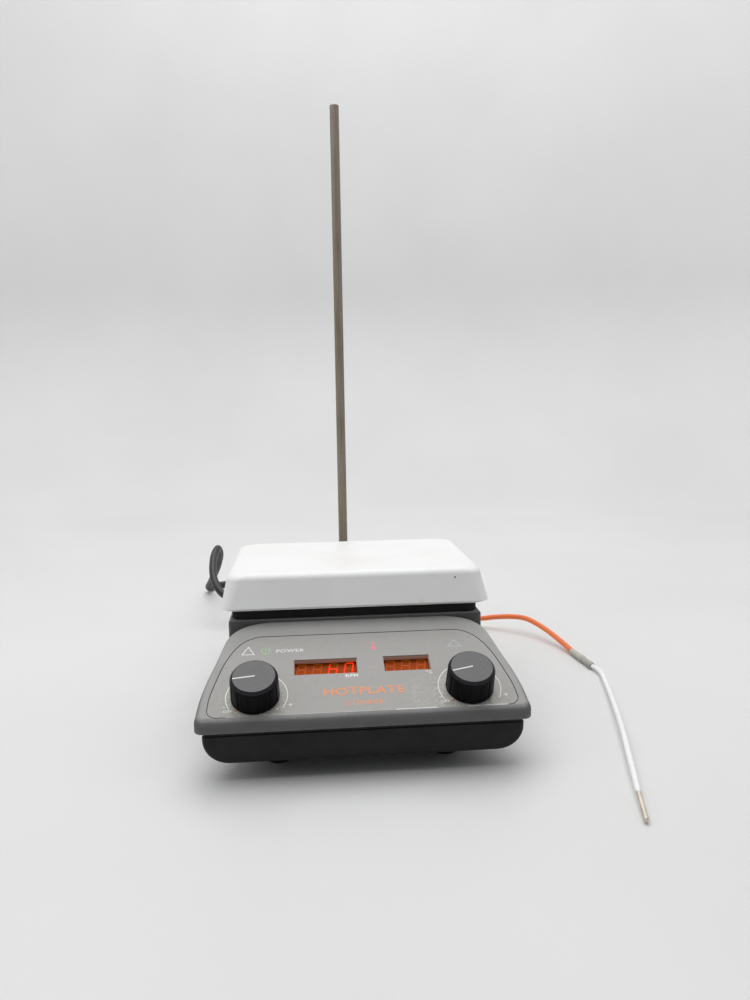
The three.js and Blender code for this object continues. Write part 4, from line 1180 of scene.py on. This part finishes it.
def build_digits():
    """Leaning seven-bar digits, standing just proud of the display's face."""
    bars = segment_outlines(5.6, 9.4, 0.68)
    lean = math.tan(math.radians(9))
    left, raised = 0.3, 2.0  # how far the row sits off the opening's centre
    for name, d in DISPLAYS.items():
        pitch = d.width / len(d.digits)
        up = d.up + raised
        for number, digit in enumerate(d.digits, 1):
            x = d.x - d.width / 2 + pitch * (number - 0.5) - left
            for letter, outline in bars.items():
                leant = [(x + px + lean * py, up + py) for px, py in outline]
                bar = patch(f"{name}_digit_{number}_{letter}", leant, d.face - 0.05, d.face + 0.12)
                lit = letter in SEGMENTS_OF[digit]
                place(bar, "display_module", finish=SEGMENT_LIT if lit else SEGMENT_UNLIT_GLOW)


def build_recess_linings():
    """A thin lining round the inside of each display opening, painted brownish with a faint glow to stand for the
    displays' orange light on the shaded recess walls.
    """
    low, high, gap, wall = -3.25, -0.85, 0.05, 0.3
    for name, d in DISPLAYS.items():
        rings = []
        for inwards, depth in ((gap, low), (gap, high), (gap + wall, high), (gap + wall, low)):
            outline = rounded_rectangle(d.width / 2 - inwards, d.height / 2 - inwards, 0.6, 3)
            rings.append(at_height(outline, depth))
        lining = shift(skinned(f"{name}_recess_lining", rings, closed_loop=True), d.x, d.up)
        place(move_mesh(lining, PANEL), "display_module", finish=RECESS_PAINTED_GLOW)


CAP_RADIUS = 12.4
CAP_FACE = KNOB_HEIGHT - 0.12


def knob_grip(name):
    """The grip with its collar and the hollow below, standing on +Z."""
    height, foot, foot_radius = KNOB_HEIGHT, 0.3, 14.4
    grip_radius = 14.0  # outside the ribs, where they end below the collar
    collar = height - 2.3
    well = CAP_RADIUS + 0.2  # round the cap, which is let in

    def flute(angle, z, radius):
        """Fourteen narrow grooves between broad ribs."""
        if radius < foot_radius - 1.2 or z > collar or z < foot + 0.4:
            return 1
        return 1 - 0.035 * min(1, (z - foot) / 0.8) * max(0, math.cos(angle * 14)) ** 6

    profile = [(0, 13.0), (3.3, 13.0), (3.3, 5.6), (11.6, 5.6), (12.4, foot)]
    profile += [(foot_radius - 0.2, foot), (foot_radius, foot + 0.3)]
    for k in range(1, 13):
        z = foot + 0.3 + (collar - foot - 0.3) * k / 12
        profile.append((foot_radius + (grip_radius - foot_radius) * k / 12, z))
    rim = ((13.85, 1.9), (13.6, 1.55), (13.1, 0.75), (12.9, 0.5), (12.75, 0.4))
    inside = ((well, 0.5), (well, 1.3), (0, 1.3))
    profile += [(radius, height - down) for radius, down in (*rim, *inside)]
    return turned(name, profile, 240, flute)


def knob_cap(name):
    """A disc with eased edges, very slightly dished."""
    r = CAP_RADIUS
    under = ((0, -0.98), (r - 0.1, -0.98), (r, -0.78))
    top = ((r, -0.15), (r - 0.1, -0.04), (r - 0.3, 0), (r * 0.6, -0.02), (r * 0.3, -0.04), (0, -0.04))
    return turned(name, [(radius, CAP_FACE + z) for radius, z in (*under, *top)], 96)


def build_knob(name, x, pointer_angle):
    placing = PANEL @ Matrix.Translation((x, KNOB_UP, 0))
    body = f"{name}_control"
    grip = move_mesh(knob_grip(f"{name}_dial_knob"), placing)
    place(weighted(grip), "black_plastic", f"{name}_knob", body=body)
    cap = move_mesh(knob_cap(f"{name}_dial_cap"), placing)
    place(weighted(cap), "cap_grey", f"{name}_knob_cap", body=body)

    start, end, half = -0.6, CAP_RADIUS - 0.25, 0.42
    outline = [(start, -half), (end, -half), (end, half), (start, half)]
    pointer = prism(f"{name}_pointer", outline, CAP_FACE - 0.2, CAP_FACE + 0.08)
    turn = Matrix.Rotation(math.radians(pointer_angle), 4, "Z")
    place(move_mesh(pointer, placing @ turn), "cap_grey", body=body, finish=WHITE_INK)


# ---------------- support rod

ROD_RADIUS = ROD.size.x / 2
SOCKET_BORE = ROD_RADIUS + 0.3


def build_support_rod():
    r, length = ROD_RADIUS, ROD.size.z
    corners = [(0, 0), (r - 0.4, 0), (r, 0.4), (r, length), (0, length)]
    rod = turned("rod_bar", rounded_profile(corners, 1.3, 6), 48)
    shift(rod, ROD.centre.x, ROD.centre.y, ROD.low.z)
    place(rod, "worn_steel", "support_rod", body="rod")


def build_rod_socket():
    """A flanged boss through the deck, drilled at the back for its clamp screw."""
    bore, outer, flange = SOCKET_BORE, 8.0, SOCKET.size.x / 2
    deck, top = DECK_TOP - SOCKET.low.z, SOCKET.size.z
    profile = rounded_profile([
        (bore, 0), (outer, 0), (outer, deck), (flange, deck), (flange, deck + 3),
        (outer + 0.5, deck + 3), (outer, deck + 5), (outer, top), (bore, top), (bore, 0),
    ], 0.7)
    socket = tube("rod_boss", profile[:-1], 64)
    drill = peg("drill", 2.3, 0, 14, 24)
    combine(socket, [facing_back(drill, 0, 0, CLAMP.centre.z - SOCKET.low.z)])
    shift(weighted(socket), 0, ROD.centre.y, SOCKET.low.z)
    place(socket, "aluminium", "rod_socket")


def build_clamp_screw():
    tip, reach = SOCKET_BORE, CLAMP.high.y - ROD.centre.y
    stem, neck, head = 2, 4.2, CLAMP.size.x / 2
    head_low = reach - 7

    def wings(angle, z, radius):
        """The head is drawn in above and below, which leaves a wing on each side."""
        if z < head_low - 0.4:
            return 1
        return 1 - 0.42 * (0.5 - 0.5 * math.cos(angle * 2)) ** 0.8

    profile = rounded_profile([
        (0, tip), (stem, tip), (stem, reach - 9), (neck, reach - 9), (neck, reach - 7.5),
        (head, head_low), (head, reach - 0.6), (head - 1.6, reach), (0, reach),
    ], 0.5)
    screw = turned("clamp_thumbscrew", profile, 128, wings)
    facing_back(screw, 0, ROD.centre.y, CLAMP.centre.z)
    place(screw, "black_plastic", "rod_clamp_screw", body="clamp_screw")


# ---------------- mains cord

CORD_RADIUS = 3.7
REAR = HOUSING.high.y
PLUG_PLACE = Vector((-60, 384, BENCH + 11))


def along_y(obj, x, z):
    """Stands a body of revolution along +Y at a place on the rear wall."""
    return facing_back(obj, x, REAR, z)


def build_connector():
    """The moulded connector in the mains inlet, and its ribbed strain relief."""
    x, z = INLET.centre.x, CONNECTOR.centre.z
    outline = rounded_rectangle(13.4, 9.4, 3.2, 6)
    sections = ((0.86, 3.0), (0.97, 3.6), (1, 4.6), (1, 17), (0.94, 21), (0.78, 24.5), (0.66, 26))
    rings = []
    for scale, reach in sections:
        rings.append([Vector((x + p.x * scale, REAR + reach, z + p.y * scale)) for p in outline])
    body = skinned("connector_body", rings)
    place(body, "cord_rubber", "cord_connector")

    ribs, first, last = 6, 25.5, CONNECTOR.high.y - REAR - 0.3
    step = (last - first) / ribs
    profile = [(0, 25)]
    for rib in range(ribs):
        at = first + (last - first) * rib / ribs
        radius = 6.6 - 1.9 * rib / (ribs - 1)
        groove = radius - 0.9
        shape = ((groove, 0), (radius, 0.15), (radius, 0.6), (groove, 0.75))
        profile += [(r, at + step * part) for r, part in shape]
    profile += [(4.4, last), (0, last)]
    place(along_y(turned("connector_relief", profile, 40), x, z), "cord_rubber")


def build_cord():
    """The cord: out of the connector, up in a loop on the left, and down to the plug."""
    x, start, above = INLET.centre.x, CONNECTOR.high.y, CONNECTOR.centre.z - BENCH
    route = over_bench([
        (x, start, above),
        (x, start + 3, above),
        (x - 6, start + 14, 40),
        (-88, 207, 29),
        (-114, 207, 31),
        (-126, 220, 45),
        (-129, 245, 60.5),
        (-126.5, 265, 67.8),
        (-126, 280, 58),
        (-132, 299, 40),
        (-142.5, 330, 19),
        (-148.5, 352, 6),
        (-139, 372, 4.2),
        (-108, 383, 4.2),
        (-78, 384, 7),
        (-64, 384, 11),
    ])
    path = smooth_through([*route, PLUG_PLACE], 12)
    cord = sweep("cord_jacket", path, CORD_RADIUS, 24)
    place(cord, "cord_rubber", "power_cord")


def build_plug():
    """A moulded plug lying on the bench: body, two flat blades and an earth pin, along +X."""
    end_x, end_y, end_z = PLUG_PLACE
    sections = (  # distance from the cord's end, half width, half height
        (0.3, 4.5, 4.5), (3, 5.0, 5.0), (9, 5.6, 5.6), (13, 7, 6.6),
        (16, 12, 9.3), (20, 13.9, 10.2), (34, 13.9, 10.4), (37, 13.3, 9.8),
    )
    lowest = BENCH + 0.35
    rings = []
    for reach, half_y, half_z in sections:
        section = rounded_rectangle(half_y, half_z, min(half_y, half_z) * 0.62, 6)
        rings.append([
            Vector((end_x + reach, end_y + p.x, max(lowest, end_z + p.y))) for p in section
        ])
    body = skinned("plug_body", rings, smooth_angle=45)
    place(body, "cord_rubber", "mains_plug")
    for name, side in (("left", -1), ("right", 1)):
        middle = (end_x + 45.5, end_y + side * 6.35, end_z)
        blade = block(f"plug_blade_{name}", 19, 1.5, 6.3, middle)
        place(bevelled(blade, 0.4), "plated_steel")
    corners = [(0, 0), (2.4, 0), (2.4, 20), (0, 20)]
    pin = turned("plug_earth_pin", rounded_profile(corners, 1.6), 32)
    pin_place = Matrix.Translation((end_x + 36, end_y, end_z + 5.2))
    move_mesh(pin, pin_place @ Matrix.Rotation(math.pi / 2, 4, "Y"))
    place(pin, "plated_steel")


# ---------------- temperature probe

CABLE_RADIUS = 2.36
SLEEVE_RADIUS = 1.74
TIP_RADIUS = 1.42
PROBE_END = NodeBox("probe_plug").high.y - REAR  # how far the plug stands out of the rear wall
FERRULE_START, FERRULE_END, SLEEVE_END, TIP_END = over_bench(
    [(192.6, 74, 3.6), (196.4, 34.3, 3.4), (145.9, -172.5, 4.6), (139.4, -197.5, 2.6)]
)


def straight(start, end, steps=6):
    return [start.lerp(end, k / steps) for k in range(steps + 1)]


def build_probe_connector():
    """The jack's ring on the rear wall and the ribbed plug in it."""
    x, z = JACK.centre.x, JACK.centre.z
    corners = [(2.6, -12), (5, -12), (5, 0), (7.5, 0), (7.5, 1.6), (5.4, 2), (2.6, 2), (2.6, -12)]
    ring = tube("jack_ring", rounded_profile(corners, 0.35)[:-1], 48)
    place(along_y(ring, x, z), "black_plastic", "probe_jack")

    profile = [(0, -10), (2.1, -10), (2.1, 2.4), (4.7, 2.5), (5, 3)]
    for rib in range(5):
        at = 4 + rib * 2.2
        profile += [(5, at), (4.6, at + 0.4), (4.6, at + 1.2), (5, at + 1.6)]
    profile += [(5, 17), (4.4, 18.4), (3.3, PROBE_END - 1), (3.0, PROBE_END), (0, PROBE_END)]
    plug = along_y(turned("probe_connector", profile, 48), x, z)
    place(plug, "black_plastic", "probe_plug")


def build_probe_cable():
    x, above = JACK.centre.x, JACK.centre.z - BENCH
    route = over_bench([
        (x, REAR + PROBE_END, above),
        (x, REAR + PROBE_END + 2, above),
        (61, 185, 39),
        (84, 184, 24),
        (109, 175, 13),
        (131.2, 165, 9.7),
        (145.8, 158, 12.2),
        (159.7, 149, 14.5),
        (171.4, 136.5, 15.2),
        (181.8, 116, 11.4),
        (189.1, 91, 6.7),
    ])
    lead = sweep("probe_lead", smooth_through([*route, FERRULE_START], 12), CABLE_RADIUS, 24)
    place(lead, "orange_cable", "probe_cable")


def build_ferrule():
    """Two lengths of shrink tube over the crimp between the cable and the sleeve."""
    length = (FERRULE_END - FERRULE_START).length

    def crimp(distance):
        """The radius: a swelling front part, a ridge, a waist and a beaded end."""
        edge = min(1, distance / 1.2, (length - distance) / 0.8)
        part = distance / length
        body = 2.3 + 0.3 * min(1, part / 0.3) if part < 0.56 else 2.42
        ridge = 0.28 * max(0, 1 - abs(part - 0.55) / 0.045)
        bead = 0.3 * max(0, 1 - abs(part - 0.94) / 0.06)
        wrinkle = 0.08 * math.sin(distance * 1.9) ** 2
        return max(1.9, (body + ridge + bead + wrinkle) * (0.82 + 0.18 * edge))

    front_end, rear_start = 0.56, 0.55  # shares of the length, where the two tubes overlap
    front = straight(FERRULE_START, FERRULE_START.lerp(FERRULE_END, front_end), 60)
    rear = straight(FERRULE_START.lerp(FERRULE_END, rear_start), FERRULE_END, 60)
    place(sweep("ferrule_front", front, crimp, 28), "shrink_grey", "probe_ferrule")
    tail = sweep("ferrule_rear", rear, lambda d: crimp(d + length * rear_start), 28)
    place(tail, "shrink_grey", finish=SHRINK_DARK)


def build_sleeve_and_tip():
    bow = over_bench([
        (197.3, 25, 3.7),
        (195.9, 12.2, 4.4),
        (188.9, -16.7, 5.6),
        (179.1, -54.7, 7),
        (167.7, -96.2, 7.8),
        (155.8, -137, 7.2),
    ])
    path = smooth_through([FERRULE_START.lerp(FERRULE_END, 1.01), *bow, SLEEVE_END], 14)
    total = sum((b - a).length for a, b in zip(path, path[1:]))

    def sleeve_radius(distance):
        """The tube, a little swollen where it is pushed over the tip."""
        edge = min(1, distance / 0.6 + 0.4, (total - distance) / 0.5 + 0.5)
        mouth = 0.12 * max(0, 1 - (total - distance) / 4)
        return (SLEEVE_RADIUS + mouth) * edge

    place(sweep("sleeve_tube", path, sleeve_radius, 24), "white_sleeve", "probe_sleeve")

    tip_length = (TIP_END - SLEEVE_END).length

    def tip_radius(distance):
        """The bar, domed over its last millimetre."""
        left = max(0.0, tip_length - distance)
        if left > 1:
            return TIP_RADIUS
        return max(0.3, TIP_RADIUS * math.sqrt(1 - 0.7 * (1 - left) ** 2))

    tip = sweep("sensor_tip", straight(SLEEVE_END, TIP_END, 60), tip_radius, 24)
    place(tip, "worn_steel", "probe_tip", finish=TIP_STEEL)


# ---------------- carried-over CAD nodes

def finish_cad_nodes():
    """Every CAD node gets its slot's finish; the mains inlet, the heat shield pan and both windows also get eased
    edges.
    """
    slots = {part["node"]: part["material_slot"] for part in frame["record"]["subparts"]}
    for node, obj in frame["nodes"].items():
        obj.data.materials.clear()
        obj.data.materials.append(SLOT_FINISH[slots[node]])
    bevelled(frame["nodes"]["mains_inlet"], 0.5, 2)
    for node in ("heat_shield_pan", "stir_window", "heat_window"):
        bevelled(frame["nodes"][node], 0.2, 2)


# ---------------- stage, lights and camera

CAMERA_PLACE = (-29.8, -566.3, 218.3)  # millimetres; the height is above the bench
CAMERA_YAW = 4.88
CAMERA_DOWN = 7.05
CAMERA_ROLL = -0.9
CAMERA_LENS = 28.35  # for a 36 mm long side


def build_stage():
    """A pale round floor that curves up into a wall on every side."""
    reach, bend, rise, sides = 1500, 500, 3200, 96
    profile = [(1, 0), (300, 0), (reach - bend, 0)]
    profile += [(reach - bend + p.x, bend + p.y) for p in arc((0, 0), bend, -90, 0, 16)[1:]]
    profile.append((reach, rise))
    verts, faces = skin(round_rings([(r, BENCH + z) for r, z in profile], sides))
    floor = mesh_object("studio_sweep", verts, faces[:-1], 60)
    if floor.data.polygons[0].normal.z < 0:
        floor.data.flip_normals()
    floor.data.materials.append(studio_floor())


def area_light(name, place_mm, target_mm, size, power, colour=(1, 1, 1)):
    data = bpy.data.lights.new(name, "AREA")
    data.shape = "RECTANGLE"
    data.size, data.size_y = size
    data.energy = power
    data.color = colour
    light = bpy.data.objects.new(name, data)
    light.location = Vector(place_mm) * MM
    aim = Vector(target_mm) * MM - light.location
    light.rotation_mode = "QUATERNION"
    light.rotation_quaternion = aim.to_track_quat("-Z", "Y")
    bpy.context.collection.objects.link(light)


def build_lights():
    area_light("overhead", (-100, 100, 1700), (0, 50, 0), (2.4, 1.6), 32)
    area_light("left_soft", (-1500, -300, 1100), (0, 0, 0), (1.4, 1.4), 4)
    area_light("right_soft", (1400, -400, 1000), (0, 0, 0), (1.2, 1.2), 2.5)
    world = bpy.data.worlds.new("studio")
    world.use_nodes = True
    background = world.node_tree.nodes["Background"]
    background.inputs["Color"].default_value = (0.9, 0.92, 0.95, 1)
    background.inputs["Strength"].default_value = 0.24
    bpy.context.scene.world = world
    bpy.context.scene.view_settings.view_transform = "Standard"


def build_camera():
    data = bpy.data.cameras.new("camera")
    data.sensor_width = data.sensor_height = 36
    data.lens = CAMERA_LENS
    data.clip_start, data.clip_end = 0.01, 50
    camera = bpy.data.objects.new("camera", data)
    x, y, above = CAMERA_PLACE
    turn = (
        Matrix.Rotation(math.radians(-CAMERA_YAW), 4, "Z")
        @ Matrix.Rotation(math.radians(90 - CAMERA_DOWN), 4, "X")
        @ Matrix.Rotation(math.radians(CAMERA_ROLL), 4, "Z")
    )
    camera.matrix_world = Matrix.Translation(Vector((x, y, BENCH + above)) * MM) @ turn
    bpy.context.collection.objects.link(camera)
    bpy.context.scene.camera = camera


# ---------------- build

finish_cad_nodes()
build_top_plate()
build_housing()
build_gasket()
build_tray()
build_feet_and_screws()
build_overlay()
build_marks()
build_digits()
build_recess_linings()
build_knob("stir", -KNOB_X, 186.7)
build_knob("heat", KNOB_X, 192.2)
build_support_rod()
build_rod_socket()
build_clamp_screw()
build_connector()
build_cord()
build_plug()
build_probe_connector()
build_probe_cable()
build_ferrule()
build_sleeve_and_tip()
build_stage()
build_lights()
build_camera()
